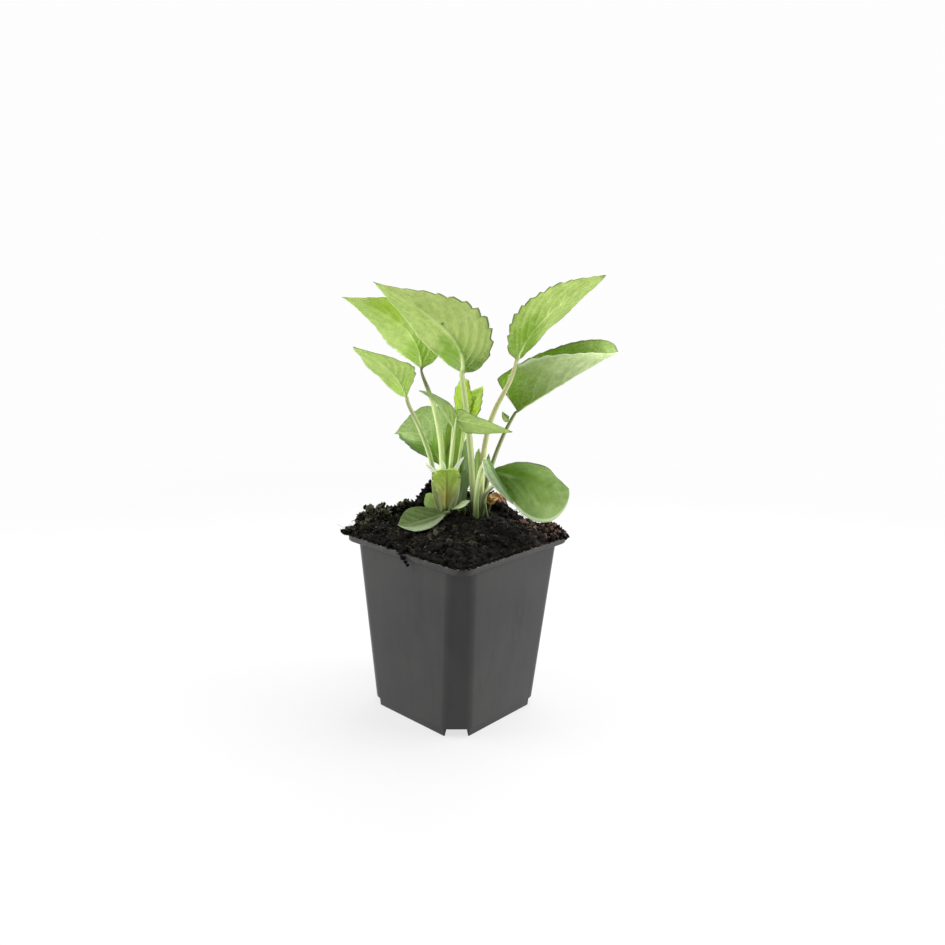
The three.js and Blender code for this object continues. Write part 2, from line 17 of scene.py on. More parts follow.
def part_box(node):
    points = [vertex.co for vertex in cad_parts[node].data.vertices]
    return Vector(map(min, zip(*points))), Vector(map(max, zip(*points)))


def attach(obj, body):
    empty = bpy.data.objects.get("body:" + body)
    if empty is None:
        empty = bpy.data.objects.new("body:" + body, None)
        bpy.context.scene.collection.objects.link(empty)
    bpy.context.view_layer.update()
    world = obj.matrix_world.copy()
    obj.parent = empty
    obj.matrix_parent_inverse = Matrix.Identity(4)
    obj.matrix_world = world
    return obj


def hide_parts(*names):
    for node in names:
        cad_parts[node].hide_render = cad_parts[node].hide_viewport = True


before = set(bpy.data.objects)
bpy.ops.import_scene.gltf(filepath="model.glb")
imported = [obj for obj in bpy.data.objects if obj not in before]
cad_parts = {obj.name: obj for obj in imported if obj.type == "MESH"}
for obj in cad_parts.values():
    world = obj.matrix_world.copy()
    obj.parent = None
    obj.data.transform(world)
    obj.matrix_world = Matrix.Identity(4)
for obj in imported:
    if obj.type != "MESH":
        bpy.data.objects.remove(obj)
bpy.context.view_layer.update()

MM = 0.001


# ---- small helpers ----

def lerp(low, high, t):
    return low + (high - low) * t


def smooth(x, low, high):
    """0 below low, 1 above high, and an even slope between."""
    t = np.clip((x - low) / (high - low), 0.0, 1.0)
    return t * t * (3 - 2 * t)


def unit(v):
    return v / np.linalg.norm(v, axis=-1, keepdims=True)


def linear(red, green, blue):
    """An sRGB colour of 0 to 255 as the linear colour that shaders take."""
    channels = np.array([red, green, blue]) / 255
    bright = ((channels + 0.055) / 1.055) ** 2.4
    return (*np.where(channels <= 0.04045, channels / 12.92, bright), 1.0)


def fractal(place, octaves=3):
    """Fractal noise at a place, about -1 to 1."""
    return noise.fractal(Vector(place), 1.0, 2.0, octaves)


def add_object(name, data):
    made = bpy.data.objects.new(name, data)
    bpy.context.scene.collection.objects.link(made)
    return made


# ---- materials from nodes ----

WHITE = (1.0, 1.0, 1.0, 1.0)


class Value:
    """An output of a node. Arithmetic with it makes further nodes."""

    def __init__(self, graph, socket):
        self.graph = graph
        self.socket = socket

    def __add__(self, other):
        return self.graph.math("ADD", self, other)

    def __sub__(self, other):
        return self.graph.math("SUBTRACT", self, other)

    def __rsub__(self, other):
        return self.graph.math("SUBTRACT", other, self)

    def __mul__(self, other):
        return self.graph.math("MULTIPLY", self, other)

    def __truediv__(self, other):
        return self.graph.math("DIVIDE", self, other)

    def __pow__(self, other):
        return self.graph.math("POWER", self, other)

    def __abs__(self):
        return self.graph.math("ABSOLUTE", self)


class Graph:
    """Makes the nodes of one material or world. An input is a number, a colour or a Value."""

    def __init__(self, owner):
        owner.use_nodes = True
        self.tree = owner.node_tree
        self.tree.nodes.clear()

    def put(self, socket, value):
        if isinstance(value, Value):
            self.tree.links.new(value.socket, socket)
        else:
            socket.default_value = value

    def node(self, kind, inputs, output=0, **settings):
        """A new node's output. The inputs and the output go by name or by number."""
        made = self.tree.nodes.new(kind)
        for name, value in settings.items():
            setattr(made, name, value)
        for name, value in inputs.items():
            self.put(made.inputs[name], value)
        return Value(self, made.outputs[output])

    def math(self, operation, *values):
        return self.node("ShaderNodeMath", dict(enumerate(values)), operation=operation)

    def vector(self, operation, *values, output=0):
        return self.node("ShaderNodeVectorMath", dict(enumerate(values)), output, operation=operation)

    def mix(self, share, first, second, blend="MIX"):
        inputs = {0: share, 6: first, 7: second}
        return self.node("ShaderNodeMix", inputs, 2, data_type="RGBA", blend_type=blend)

    def between(self, share, colours):
        """A mix of two sRGB colours."""
        return self.mix(share, *(linear(*colour) for colour in colours))

    def span(self, value, low, high, to_low=0.0, to_high=1.0):
        """value's place between low and high, evened out at both ends."""
        inputs = dict(enumerate((value, low, high, to_low, to_high)))
        return self.node("ShaderNodeMapRange", inputs, interpolation_type="SMOOTHSTEP")

    def noise(self, place, scale, detail=3.0, roughness=0.55):
        inputs = {"Vector": place, "Scale": scale, "Detail": detail, "Roughness": roughness}
        return self.node("ShaderNodeTexNoise", inputs)

    def cell_edge(self, place, scale):
        """How far a point is from the edge of the cell that it is in."""
        inputs = {"Vector": place, "Scale": scale}
        return self.node("ShaderNodeTexVoronoi", inputs, "Distance", feature="DISTANCE_TO_EDGE")

    def attribute(self, name):
        return self.node("ShaderNodeAttribute", {}, "Fac", attribute_name=name)

    def uv(self, name):
        return self.node("ShaderNodeUVMap", {}, uv_map=name)

    def place(self):
        """Where a point is in the part's frame, in metres."""
        return self.node("ShaderNodeTexCoord", {}, "Object")

    def parts(self, place):
        """A vector's X, Y and Z."""
        split = self.node("ShaderNodeSeparateXYZ", {0: place}).socket.node
        return [Value(self, output) for output in split.outputs]

    def bump(self, height, depth, strength):
        return self.node("ShaderNodeBump", {"Height": height, "Distance": depth, "Strength": strength})

    def skin(self, colour, rough, bump, specular, **more):
        inputs = {"Base Color": colour, "Roughness": rough, "Normal": bump, "Specular IOR Level": specular}
        return self.node("ShaderNodeBsdfPrincipled", inputs | more)

    def emission(self, strength):
        return self.node("ShaderNodeEmission", {"Color": WHITE, "Strength": strength})

    def blend(self, share, first, second):
        """A shader between two others."""
        return self.node("ShaderNodeMixShader", {0: share, 1: first, 2: second})

    def finish(self, shader, kind="ShaderNodeOutputMaterial"):
        self.put(self.tree.nodes.new(kind).inputs["Surface"], shader)


def new_material(name):
    material = bpy.data.materials.new(name)
    return material, Graph(material)


# ---- camera, floor and light ----

CAMERA_AZIMUTH = 42.69      # degrees, the direction that the camera looks in, round from +Y
CAMERA_DISTANCE = 514.625   # mm from the middle of the pot's height
CAMERA_RISE = 22.22         # degrees above it
CAMERA_PITCH = 12.90        # degrees that the camera looks down
CAMERA_PAN = -0.87
CAMERA_ROLL = 1.51
CAMERA_NEAR = 0.01          # metres, where its view begins
FOCAL_PIXELS = 892.058
PICTURE_WIDTH = 945
SENSOR_WIDTH = 36.0
POT_MIDDLE = 50.0           # mm above the floor


def make_camera():
    data = bpy.data.cameras.new("camera")
    data.sensor_width = SENSOR_WIDTH
    data.lens = FOCAL_PIXELS * SENSOR_WIDTH / PICTURE_WIDTH
    data.clip_start = CAMERA_NEAR
    camera = add_object("camera", data)
    rise = math.radians(CAMERA_RISE)
    back = CAMERA_DISTANCE * math.cos(rise)
    place = Vector((0, -back, POT_MIDDLE + CAMERA_DISTANCE * math.sin(rise))) * MM
    turn = Matrix.Rotation(math.radians(CAMERA_AZIMUTH), 4, "Z")
    aim = (Matrix.Rotation(math.radians(CAMERA_AZIMUTH + CAMERA_PAN), 4, "Z")
           @ Matrix.Rotation(math.radians(90 - CAMERA_PITCH), 4, "X")
           @ Matrix.Rotation(math.radians(CAMERA_ROLL), 4, "Z"))
    camera.matrix_world = Matrix.Translation(turn @ place) @ aim
    bpy.context.scene.camera = camera


@dataclass
class SoftBox:
    name: str
    bearing: float   # degrees round from the camera, to its right
    rise: float      # degrees above the floor
    distance: float  # metres
    size: float      # metres
    watts: float


SOFT_BOXES = [
    SoftBox("left", -84, 26, 0.75, 0.65, 7.6),
    SoftBox("right", 86, 26, 0.75, 0.65, 8.4),
    SoftBox("above", 150, 68, 0.9, 0.8, 12.5),
    SoftBox("front", 8, 58, 1.2, 0.7, 3.0),
]
LIGHT_AIM = Vector((0, 0, 0.12))
BACKDROP = 0.985            # the brightness that the camera sees behind everything
ROOM_BEHIND = 0.8           # the brightness that lights the plant, from behind it
ROOM_IN_FRONT = 0.08        # and from the camera's side
ROOM_TURN = (-0.3, 0.7)     # between these cosines to the camera's side the one turns into the other
FLOOR_RADIUS = 3.0
FLOOR_CORNERS = 96
FLOOR_GREY = (0.11, 0.11, 0.11, 1.0)
FLOOR_GLOW = 0.73           # the floor is lit through from below, so shadows on it are faint
FLOOR_CLEAR = 0.35          # metres from the pot, from where the floor turns into the backdrop
FLOOR_GONE = 0.75


def make_lights():
    for box in SOFT_BOXES:
        data = bpy.data.lights.new(f"light_{box.name}", "AREA")
        data.shape = "DISK"
        data.size = box.size
        data.energy = box.watts
        lamp = add_object(data.name, data)
        bearing = math.radians(CAMERA_AZIMUTH + box.bearing)
        rise = math.radians(box.rise)
        level = math.cos(rise)
        out = Vector((math.sin(bearing) * level, -math.cos(bearing) * level, math.sin(rise)))
        lamp.location = LIGHT_AIM + out * box.distance
        lamp.rotation_euler = out.to_track_quat("Z", "Y").to_euler()


def make_world():
    world = bpy.data.worlds.new("studio")
    bpy.context.scene.world = world
    g = Graph(world)
    turn = math.radians(CAMERA_AZIMUTH)
    to_camera = (math.sin(turn), -math.cos(turn), 0.0)
    direction = g.node("ShaderNodeTexCoord", {}, "Generated")
    facing = g.vector("DOT_PRODUCT", direction, to_camera, output="Value")
    room = g.span(facing, *ROOM_TURN, ROOM_BEHIND, ROOM_IN_FRONT)
    seen = g.node("ShaderNodeLightPath", {}, "Is Camera Ray")
    brightness = g.node("ShaderNodeMix", {0: seen, 2: room, 3: BACKDROP}, data_type="FLOAT")
    background = g.node("ShaderNodeBackground", {"Color": WHITE, "Strength": brightness})
    g.finish(background, "ShaderNodeOutputWorld")
    bpy.context.scene.view_settings.view_transform = "Standard"


def make_floor():
    turn = np.linspace(0, 2 * np.pi, FLOOR_CORNERS, endpoint=False)
    rim = np.stack([np.cos(turn), np.sin(turn), 0 * turn], 1) * FLOOR_RADIUS
    mesh = bpy.data.meshes.new("floor")
    mesh.from_pydata(rim.tolist(), [], [list(range(FLOOR_CORNERS))])
    material, g = new_material("floor")
    away = g.vector("LENGTH", g.place(), output="Value")
    matt = g.node("ShaderNodeBsdfDiffuse", {"Color": FLOOR_GREY})
    near = g.node("ShaderNodeAddShader", {0: matt, 1: g.emission(FLOOR_GLOW)})
    g.finish(g.blend(g.span(away, FLOOR_CLEAR, FLOOR_GONE), near, g.emission(BACKDROP)))
    mesh.materials.append(material)
    add_object("floor", mesh)


# ---- meshes ----

@dataclass
class Form:
    """Points in millimetres with their faces, and what the materials read at each point."""
    points: np.ndarray
    faces: list
    values: dict  # name: one number a point, or two for a UV map

    def join(self, other):
        moved = [[k + len(self.points) for k in face] for face in other.faces]
        values = {name: np.concatenate([self.values[name], other.values[name]]) for name in self.values}
        return Form(np.concatenate([self.points, other.points]), self.faces + moved, values)


def make_piece(form, name, slot, material, replaces=()):
    mesh = bpy.data.meshes.new(name)
    mesh.from_pydata((form.points * MM).tolist(), [], form.faces)
    corners = np.empty(len(mesh.loops), int)
    mesh.loops.foreach_get("vertex_index", corners)
    for key, value in form.values.items():
        if value.ndim == 2:
            layer = mesh.uv_layers.new(name=key)
            layer.uv.foreach_set("vector", value[corners].astype(np.float32).ravel())
        else:
            layer = mesh.attributes.new(key, "FLOAT", "POINT")
            layer.data.foreach_set("value", value.astype(np.float32))
    mesh.shade_smooth()
    mesh.materials.append(material)
    mesh.validate()
    place_piece(add_object(name, mesh), slot, replaces)


def place_piece(piece, slot, replaces):
    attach(piece, "root")
    if replaces:
        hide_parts(*replaces)


def loft(rings, values):
    """A closed skin over rings of as many points each, with a fan over the first and the last."""
    levels, count = rings.shape[:2]
    faces = []
    for i in range(levels - 1):
        for j in range(count):
            a = i * count + j
            b = i * count + (j + 1) % count
            faces.append((a, b, b + count, a + count))
    hubs = levels * count
    last = (levels - 1) * count
    for j in range(count):
        faces.append((hubs, (j + 1) % count, j))
        faces.append((hubs + 1, last + j, last + (j + 1) % count))

    def with_hubs(grid):
        flat = grid.reshape(levels * count, *grid.shape[2:])
        return np.concatenate([flat, grid[0].mean(0)[None], grid[-1].mean(0)[None]])

    return Form(with_hubs(rings), faces, {name: with_hubs(grid) for name, grid in values.items()})


# ---- the leaves' shapes and colours ----

@dataclass
class Half:
    """One half of a blade, in millimetres and degrees."""
    width: float
    early: float     # below 1, its widest place is nearer the stem
    taper: float     # below 1, its ends are blunter
    fold: float      # how far it rises from flat at the midrib
    curl: float      # how far it bends on from there to the margin
    lobe: float = 0  # how far its foot reaches back, as a share of the half's width
    bite: float = 1  # depth of its teeth, as a share of the usual depth


@dataclass
class Patch:
    """A soft patch of another colour, some of them painted shade: its middle across and along the blade and
    its reach, in mm.
    """
    across: float
    along: float
    reach: float
    colour: tuple
    share: float = 0.8


@dataclass
class Finish:
    """A leaf's sRGB colours, its two margins and how much light comes through it."""
    upper: tuple                          # its two faces
    lower: tuple
    near: tuple                           # what both turn into near the stem; where it is darker, painted shade under the crown's other leaves
    vein: tuple = (200, 220, 150)
    stem: tuple = (208, 224, 160)
    # the stem's flanks, darker than its paler middle: painted shade of a round stem
    stem_shade_side: tuple = (166, 192, 110)
    stem_top: tuple = ()                  # the stem's last part below the blade, if it differs
    glow: tuple = (176, 214, 70)          # the light that comes through
    rims: tuple = ((112, 118, 92), (112, 118, 92))  # its margins, left one first; one much paler than its blade is painted highlight along the edge
    rim_from: tuple = (0.94, 0.94)        # where they begin, as shares of the way across
    share: float = 0.3                    # of the light that comes through
    patches: tuple = ()


@dataclass
class Leaf:
    """A leaf in millimetres and degrees.

    The centre lines are those of its solid: the stem's root and the two handles of its curve, then the
    blade's collar, bend and tip. Its two halves follow the photo more finely than the solid does.
    """
    name: str
    stem: tuple
    blade: tuple
    radii: tuple                # of the solid's stem, at the root and at the collar
    width: float                # half the width of the solid's blade
    upper: tuple                # where its upper face looks
    left: Half
    right: Half
    finish: Finish
    twist: float = 0
    teeth: int = 0
    slim: tuple = (1, 0.8)      # the radii here, as shares of the solid's
    dish: tuple = ()            # a hollow in its face: mm across, mm along, its reach and its depth
    crumple: float = 0          # mm that a withered blade strays from its smooth shape


# The first two are pale margins: painted highlight where light catches a leaf's edge.
PALE_RIM_HIGHLIGHT = (216, 236, 160)
WHITE_RIM_HIGHLIGHT = (214, 226, 186)
GREY_RIM = (92, 92, 74)
DARK_RIM = (84, 74, 46)
YOUNG_GREY = Finish((122, 144, 104), (144, 164, 124), (74, 94, 58), vein=(166, 184, 148))

LEAVES = [
    Leaf("leaf_tall_centre", ((1, 12, 101), (-2.5, 15.5, 130.5), (4.5, 0, 170)),
         ((2, -2, 189.5), (2, 8, 210), (-29, -37, 236.5)),
         (1.9, 1.25), 23.5, (-0.33, 0.85, 0.41), Half(22.6, 0.8, 1.33, 7, 11, lobe=0.2, bite=1.05),
         Half(21.9, 1, 0.96, 13, 7, lobe=0.17, bite=0.35),
         Finish((116, 154, 58), (212, 222, 142), (84, 118, 10), vein=(218, 234, 172), stem=(190, 204, 142),
                stem_shade_side=(162, 172, 112), rims=(GREY_RIM, PALE_RIM_HIGHLIGHT), rim_from=(0.94, 0.92),
                patches=[Patch(9, 22, 18, (104, 142, 14), 0.75), Patch(-13, 24, 14, (212, 226, 142), 0.5),
                         Patch(-1.5, 40.8, 1, (52, 66, 26), 0.9)]), teeth=11, slim=(1, 1.1)),
    Leaf("leaf_tall_left", ((-17, 4.5, 101), (-16.5, 8.5, 166.5), (-26, -2, 179)),
         ((-29, -1.5, 188.5), (-34.5, 6, 216), (-62.5, -30, 227.5)),
         (1.4, 1.2), 20.5, (-0.34, 0.87, 0.35), Half(19.2, 0.71, 1.31, 8, -4, bite=0.8),
         Half(20.2, 0.94, 1.12, 12, 5, bite=0.4),
         Finish((144, 178, 76), (210, 220, 144), (114, 148, 14), vein=(216, 232, 160),
                stem_top=(104, 108, 72), rims=(GREY_RIM, WHITE_RIM_HIGHLIGHT), rim_from=(0.94, 0.9), share=0.36,
                # The dark patch near its foot is painted shade beside leaf_tall_centre's margin.
                patches=[Patch(-9, 42, 16, (166, 192, 0), 0.7), Patch(3, 14, 11, (116, 152, 8), 0.6)]),
         twist=-5, teeth=10, slim=(1.35, 0.58)),
    Leaf("leaf_small_left", ((-20, 2.5, 101), (-17, 5, 143), (-13.5, -29, 173.5)),
         ((-11.5, -29, 177.5), (-18, -30, 194.5), (-15.5, -62, 205.5)),
         (1.2, 0.85), 14.5, (-0.07, 0.65, 0.76), Half(16.2, 0.89, 1.6, 8, -2, bite=0.9),
         Half(16.4, 0.88, 0.8, 7, -10, lobe=0.04, bite=0.3),
         Finish((142, 184, 70), (218, 234, 138), (166, 200, 76), stem=(216, 230, 166),
                stem_top=(172, 174, 128), rims=(GREY_RIM, WHITE_RIM_HIGHLIGHT), rim_from=(0.94, 0.9), share=0.34),
         teeth=7, slim=(1.2, 1.15)),
    Leaf("leaf_tall_right", ((4, 15.5, 101), (0.5, 12, 176), (21, 14, 173)),
         ((23.5, 17, 197), (29, 21, 222), (53.5, 52, 243)),
         (1.6, 1.3), 19.5, (-0.85, 0.07, 0.51), Half(15.5, 1.03, 0.69, 12, -7, lobe=0.21, bite=0.3),
         Half(20, 0.77, 1.06, 3, 7, lobe=0.1, bite=1.1),
         Finish((130, 166, 54), (184, 198, 114), (100, 128, 14), vein=(224, 238, 172), stem=(196, 204, 146),
                stem_shade_side=(178, 170, 124), rims=((150, 148, 124), GREY_RIM), share=0.34,
                patches=[Patch(0, 20, 16, (104, 136, 16), 0.7)]), teeth=11),
    Leaf("leaf_long_right", ((1, 19, 101), (-1, 19.5, 137), (10, 35.5, 167.5)),
         ((10.5, 34, 166.5), (56, 36.5, 196), (56, 64, 202.5)),
         (1.4, 1.1), 24.5, (-0.41, -0.37, 0.83), Half(23.8, 0.31, 0.45, 66, 29, lobe=0.6, bite=0.25),
         Half(26.3, 0.6, 1.83, 40, 23, lobe=0.44, bite=0.6),
         Finish((138, 160, 84), (228, 242, 186), (112, 150, 0), stem=(154, 162, 118),
                stem_shade_side=(94, 104, 60), rims=(GREY_RIM, (214, 226, 196)), rim_from=(0.94, 0.93)),
         twist=45, teeth=10, slim=(1, 0.7)),
    Leaf("leaf_slim_left", ((-16.5, 9, 101), (-16.5, 8.5, 120), (-13, 7, 142)),
         ((-10, 5, 158.5), (-12.5, -0.5, 173), (-21.5, -10.5, 179)),
         (1.1, 0.8), 7.5, (0.02, 0.8, 0.61), Half(7.5, 0.62, 0.93, 8, 7), Half(5.8, 0.5, 1.1, 16, -1),
         Finish((118, 144, 86), (178, 196, 138), (168, 194, 100), vein=(190, 206, 156))),
    Leaf("leaf_slim_right", ((-13, 6.5, 101), (-12.5, 8.5, 135), (-7.5, -1.5, 130.5)),
         ((1, -4, 165.5), (4, -2, 164.5), (36.5, 0, 163)),
         (1.2, 0.9), 9, (-0.05, 0.82, 0.57), Half(9, 0.55, 0.83, 4, -8), Half(9, 0.55, 0.83, 0, -7),
         Finish((138, 166, 86), (194, 212, 134), (180, 202, 118), rims=(GREY_RIM, GREY_RIM))),
    Leaf("leaf_young_bright", ((-14, 10, 101), (-13.5, 9, 120), (-8.5, 10.5, 142)),
         ((-6.5, 9.5, 159), (-11.5, 11, 180), (-2.3, 8.5, 184.8)),
         (1.1, 0.8), 7.5, (0, 1, 0.09), Half(7.5, 0.8, 0.79, 6, 5, bite=2.2),
         Half(7.5, 0.8, 0.79, 11, -7, bite=1.6),
         Finish((160, 192, 44), (182, 202, 66), (176, 208, 50), glow=(196, 226, 50),
                rims=(DARK_RIM, DARK_RIM), rim_from=(0.9, 0.9), share=0.4,
                patches=[Patch(-3, 26, 5, (112, 108, 34), 0.7)]), teeth=5),
    Leaf("leaf_young_side", ((-18, 12, 101), (-17.5, 11, 122.5), (-9, 12, 144.5)),
         ((-8, 13, 157.5), (0, 10, 178.5), (0.5, 17, 181.5)),
         (0.9, 0.7), 7.5, (0.29, 0.92, -0.25), Half(7.5, 0.64, 0.9, 11, 9, bite=1.6),
         Half(9, 1.45, 0.62, 9, 12, bite=0.8),
         Finish((190, 212, 72), (184, 206, 68), (172, 194, 56), glow=(190, 222, 50),
                rims=(DARK_RIM, DARK_RIM), rim_from=(0.9, 0.9), share=0.4), teeth=5),
    Leaf("leaf_round_back", ((-22, 8, 101), (-21.5, 8.5, 112.5), (-20.5, 8, 123.5)),
         ((-21.5, 7.5, 134), (-33.5, 10.5, 156), (-56, 4, 148.5)),
         (1.2, 1), 18.5, (0.37, -0.55, 0.75), Half(18.5, 0.95, 1.11, 28, 16, bite=0.6),
         Half(20.4, 0.92, 1.2, 32, 9, bite=0.4),
         # Its dark left margin and its two darkest patches, on the left half, are painted shade under the
         # stems and below a fold.
         Finish((124, 148, 80), (150, 176, 104), (74, 110, 10), rims=((74, 98, 52), (112, 118, 92)),
                rim_from=(0.66, 0.94),
                patches=[Patch(-11, 14, 9, (66, 106, 0), 0.7), Patch(-15, 24, 9, (60, 96, 24), 0.75),
                         Patch(3, 11, 9, (112, 154, 20), 0.65)]), twist=11, teeth=7),
    Leaf("leaf_round_right", ((6, 9, 101), (4.5, 6.5, 125.5), (10, 8.5, 150)),
         ((14.5, 8, 137.5), (53, 17.5, 130), (59, 21, 133.5)),
         (1.6, 1.5), 20.5, (0.23, -0.89, -0.39), Half(20.8, 0.96, 1.01, 7, 21, bite=0),
         Half(20.4, 0.97, 1, 13, 8, bite=0),
         Finish((172, 192, 132), (180, 202, 160), (56, 88, 6), vein=(150, 176, 112),
                rims=((104, 96, 100), (226, 238, 204)), rim_from=(0.94, 0.86),
                # The two dark patches are painted shade in the hollow of its dish.
                patches=[Patch(-1, 13, 9, (66, 102, 14), 0.7), Patch(1, 22, 15, (104, 132, 50), 0.6)]),
         twist=1, teeth=8, dish=(-1, 14, 9, 3.2)),
    Leaf("leaf_low_front", ((-12.5, -3, 101), (-11.5, -3, 108), (-2.5, -0.5, 114)),
         ((-4.5, -5, 112.5), (-13, -26, 107), (-15, -31.5, 108.5)),
         (1.1, 1), 8.5, (0.72, -0.37, 0.58), Half(8.5, 0.83, 1.02, 26, 18), Half(8.5, 1, 0.76, 15, 11),
         Finish((100, 120, 70), (178, 190, 158), (88, 104, 54), vein=(140, 156, 112),
                # The pale band over most of its left half is painted light, where that half tilts up
                # towards the light.
                rims=((152, 164, 134), GREY_RIM), rim_from=(0.25, 0.94))),
    Leaf("leaf_young_front", ((-11, 1, 101), (-11, 0.5, 108), (-10, 0.5, 108.5)),
         ((-9.5, 0, 113), (-6, -3, 134.5), (-2.5, -7.5, 137.5)),
         (1.5, 1.5), 8.5, (-0.73, 0.58, 0.37), Half(8.5, 1, 0.9, 16, 9, bite=2),
         Half(8.8, 1.02, 0.84, 21, 13, bite=2),
         Finish((138, 204, 76), (200, 232, 104), (210, 206, 138), vein=(164, 166, 82),
                rims=((176, 204, 104), (176, 204, 104)), patches=[Patch(0, 3, 8, (122, 100, 46), 0.35)]),
         teeth=5),
    Leaf("leaf_round_small", ((-17.5, -2, 101), (-17.5, -2, 107.5), (-12.5, -1, 109.5)),
         ((-14, -1.5, 112), (-21, -3, 117), (-24, -1.5, 119)),
         (0.9, 0.8), 5, (-0.03, -0.99, -0.15), Half(5, 0.94, 1.18, 8, 25), Half(5, 0.94, 1.18, -4, 1),
         Finish((130, 160, 72), (134, 168, 82), (112, 136, 60), vein=(146, 164, 96))),
    Leaf("leaf_low_pale", ((-8, 4, 101), (-8, 4, 108), (-8, 2.5, 111)),
         ((-7, 1.5, 113), (-2, 4, 114), (2, 7.5, 118.5)),
         (0.8, 0.7), 3.5, (0, -0.42, 0.91), Half(3.5, 1.5, 0.99, 8, 0), Half(3.5, 1.5, 0.99, 11, 10),
         Finish((206, 218, 186), (206, 218, 186), (196, 210, 172))),
    Leaf("leaf_withered", ((6, 19.5, 101), (6, 19.5, 108), (3.5, 21, 109.5)),
         ((3.5, 22.5, 113), (5.5, 23, 119.5), (9.5, 30, 115.5)),
         (0.9, 0.8), 3.5, (0.03, -0.7, 0.72), Half(4.2, 0.8, 0.6, 25, 30), Half(3.4, 0.7, 0.8, 20, 40),
         Finish((196, 156, 96), (160, 124, 108), (172, 140, 84), vein=(206, 180, 130), stem=(150, 136, 84),
                stem_shade_side=(120, 96, 50), glow=(190, 150, 60), rims=((120, 88, 76), (120, 88, 76)),
                patches=[Patch(0, 14, 7, (158, 118, 104))]), teeth=3, crumple=2),
    Leaf("leaf_young_grey", ((-5, 11.5, 101), (-5.5, 11.5, 112.5), (-9.5, 12.5, 113.5)),
         ((-10, 13, 120), (-11.5, 15.5, 137), (-7, 16.5, 154.5)),
         (1.3, 1.1), 4, (-0.59, 0.8, -0.03), Half(5.2, 0.62, 0.62, 14, 10), Half(5, 0.6, 0.6, 14, 10),
         YOUNG_GREY),
    Leaf("shoot_tip_centre", ((-2, 15, 101), (-1.5, 15, 117.5), (0, 15, 119)),
         ((-0.5, 15.5, 128.5), (-1.5, 16, 137), (1, 14.5, 147)),
         (0.9, 0.8), 2, (-0.51, 0.85, 0.1), Half(3.4, 0.7, 0.7, 8, 10, bite=3),
         Half(3.2, 0.7, 0.7, 8, 10, bite=3),
         Finish((118, 146, 84), (124, 152, 88), (96, 126, 62), rims=((90, 96, 66), (90, 96, 66))), teeth=3),
    Leaf("shoot_tip_right", ((-2.5, 18, 101), (-2.5, 19, 116.5), (-2.5, 24, 117.5)),
         ((-2, 24.5, 127), (-1.5, 25, 134), (-0.5, 25, 142.5)),
         (0.9, 0.8), 1.5, (-0.52, 0.85, 0.02), Half(2.4, 0.7, 0.8, 8, 10, bite=3),
         Half(2.4, 0.7, 0.8, 8, 10, bite=3),
         Finish((104, 128, 72), (110, 134, 76), (90, 116, 60), rims=((90, 96, 66), (90, 96, 66))), teeth=3),
    Leaf("shoot_stalk_right", ((10.5, 15.5, 101), (9.5, 14.5, 109.5), (6, 11.5, 118.5)),
         ((9, 15, 124), (10, 16, 126), (11.5, 16.5, 128)),
         (0.8, 0.7), 1, (0.51, -0.86, 0.03), Half(1, 0.7, 0.9, 15, 10), Half(1, 0.7, 0.9, 15, 10),
         Finish((176, 196, 134), (176, 196, 134), (176, 196, 134))),
]

# The leaflet grows out of the stem of leaf_long_right and is one piece with that leaf.
LEAFLET = Leaf("leaflet", ((8.6, 32.2, 161.5), (8.6, 31.8, 161.7), (8.4, 31.3, 161.9)),
               ((8.2, 31, 162), (6.7, 29.4, 162.6), (6.1, 27.9, 166.9)), (0.5, 0.5), 2.2,
               (0.6, -0.65, 0.4), Half(2.2, 0.75, 0.7, 20, 10), Half(2.2, 0.75, 0.7, 20, 10), None)

# The flat edge that runs down the stem of leaf_round_right to its blade, and that stem's foot, which bends
# out of the crown under the blade.
STEM_EDGE = Finish((184, 208, 160), (196, 216, 170), (188, 212, 164), vein=(200, 218, 178),
                   stem=(180, 204, 146), rims=((112, 146, 82), (236, 244, 220)), rim_from=(0.4, 0.5))
STEM_FOOT = Finish((196, 206, 160), (196, 206, 160), (196, 206, 160), stem=(200, 208, 164),
                   stem_shade_side=(160, 172, 116))
ROUND_RIGHT_STEM = [
    Leaf("leaf_round_right_wing", ((11.6, 7.4, 143), (11.7, 7.1, 143.2), (11.8, 6.8, 143.5)),
         ((12.2, 6.3, 144), (16.2, 3.2, 136), (29.4, 11.7, 121)), (0.5, 0.5), 3.2, (0.5, -0.78, 0.38),
         Half(4.2, 0.6, 0.6, 12, 14), Half(2.2, 0.8, 0.6, 18, 20), STEM_EDGE),
    Leaf("leaf_round_right_foot", ((4.8, 13.5, 107), (5.2, 13.2, 121), (10.5, 10.6, 126.5)),
         ((18.6, 10.3, 130.3), (22.2, 10.3, 130.1), (25.2, 11, 128.3)), (1.5, 1.2), 1.6,
         (0.5, -0.78, 0.38), Half(1.6, 0.7, 0.7, 12, 14), Half(1.6, 0.7, 0.7, 18, 20), STEM_FOOT),
]

PALE_SHEATH = Finish((206, 218, 164), (206, 218, 164), (158, 170, 104), vein=(222, 230, 186),
                     glow=(220, 232, 150), rims=((216, 226, 176), (216, 226, 176)))
GREEN_SHEATH = Finish((158, 182, 90), (158, 182, 90), (126, 152, 58), vein=(176, 196, 116))
BRACT = Finish((252, 254, 244), (252, 254, 244), (248, 252, 236), vein=(252, 254, 244),
               stem=(240, 248, 220), glow=(250, 252, 240), rims=((230, 236, 214), (230, 236, 214)))
TO_CAMERA = (0.68, -0.73, 0.1)


def sheath(name, finish, width, early, stem, blade):
    """A narrow leaf that clasps the stems of the left crown."""
    half = Half(width, early, 0.5, 10, 24)
    return Leaf(name, stem, blade, (1.2, 1.2), width, TO_CAMERA, half, half, finish)


def bract(name, width, stem, blade):
    """A small pale scale between those stems."""
    half = Half(width, 0.8, 0.6, 20, 20)
    return Leaf(name, stem, blade, (0.4, 0.4), width, TO_CAMERA, half, half, BRACT)


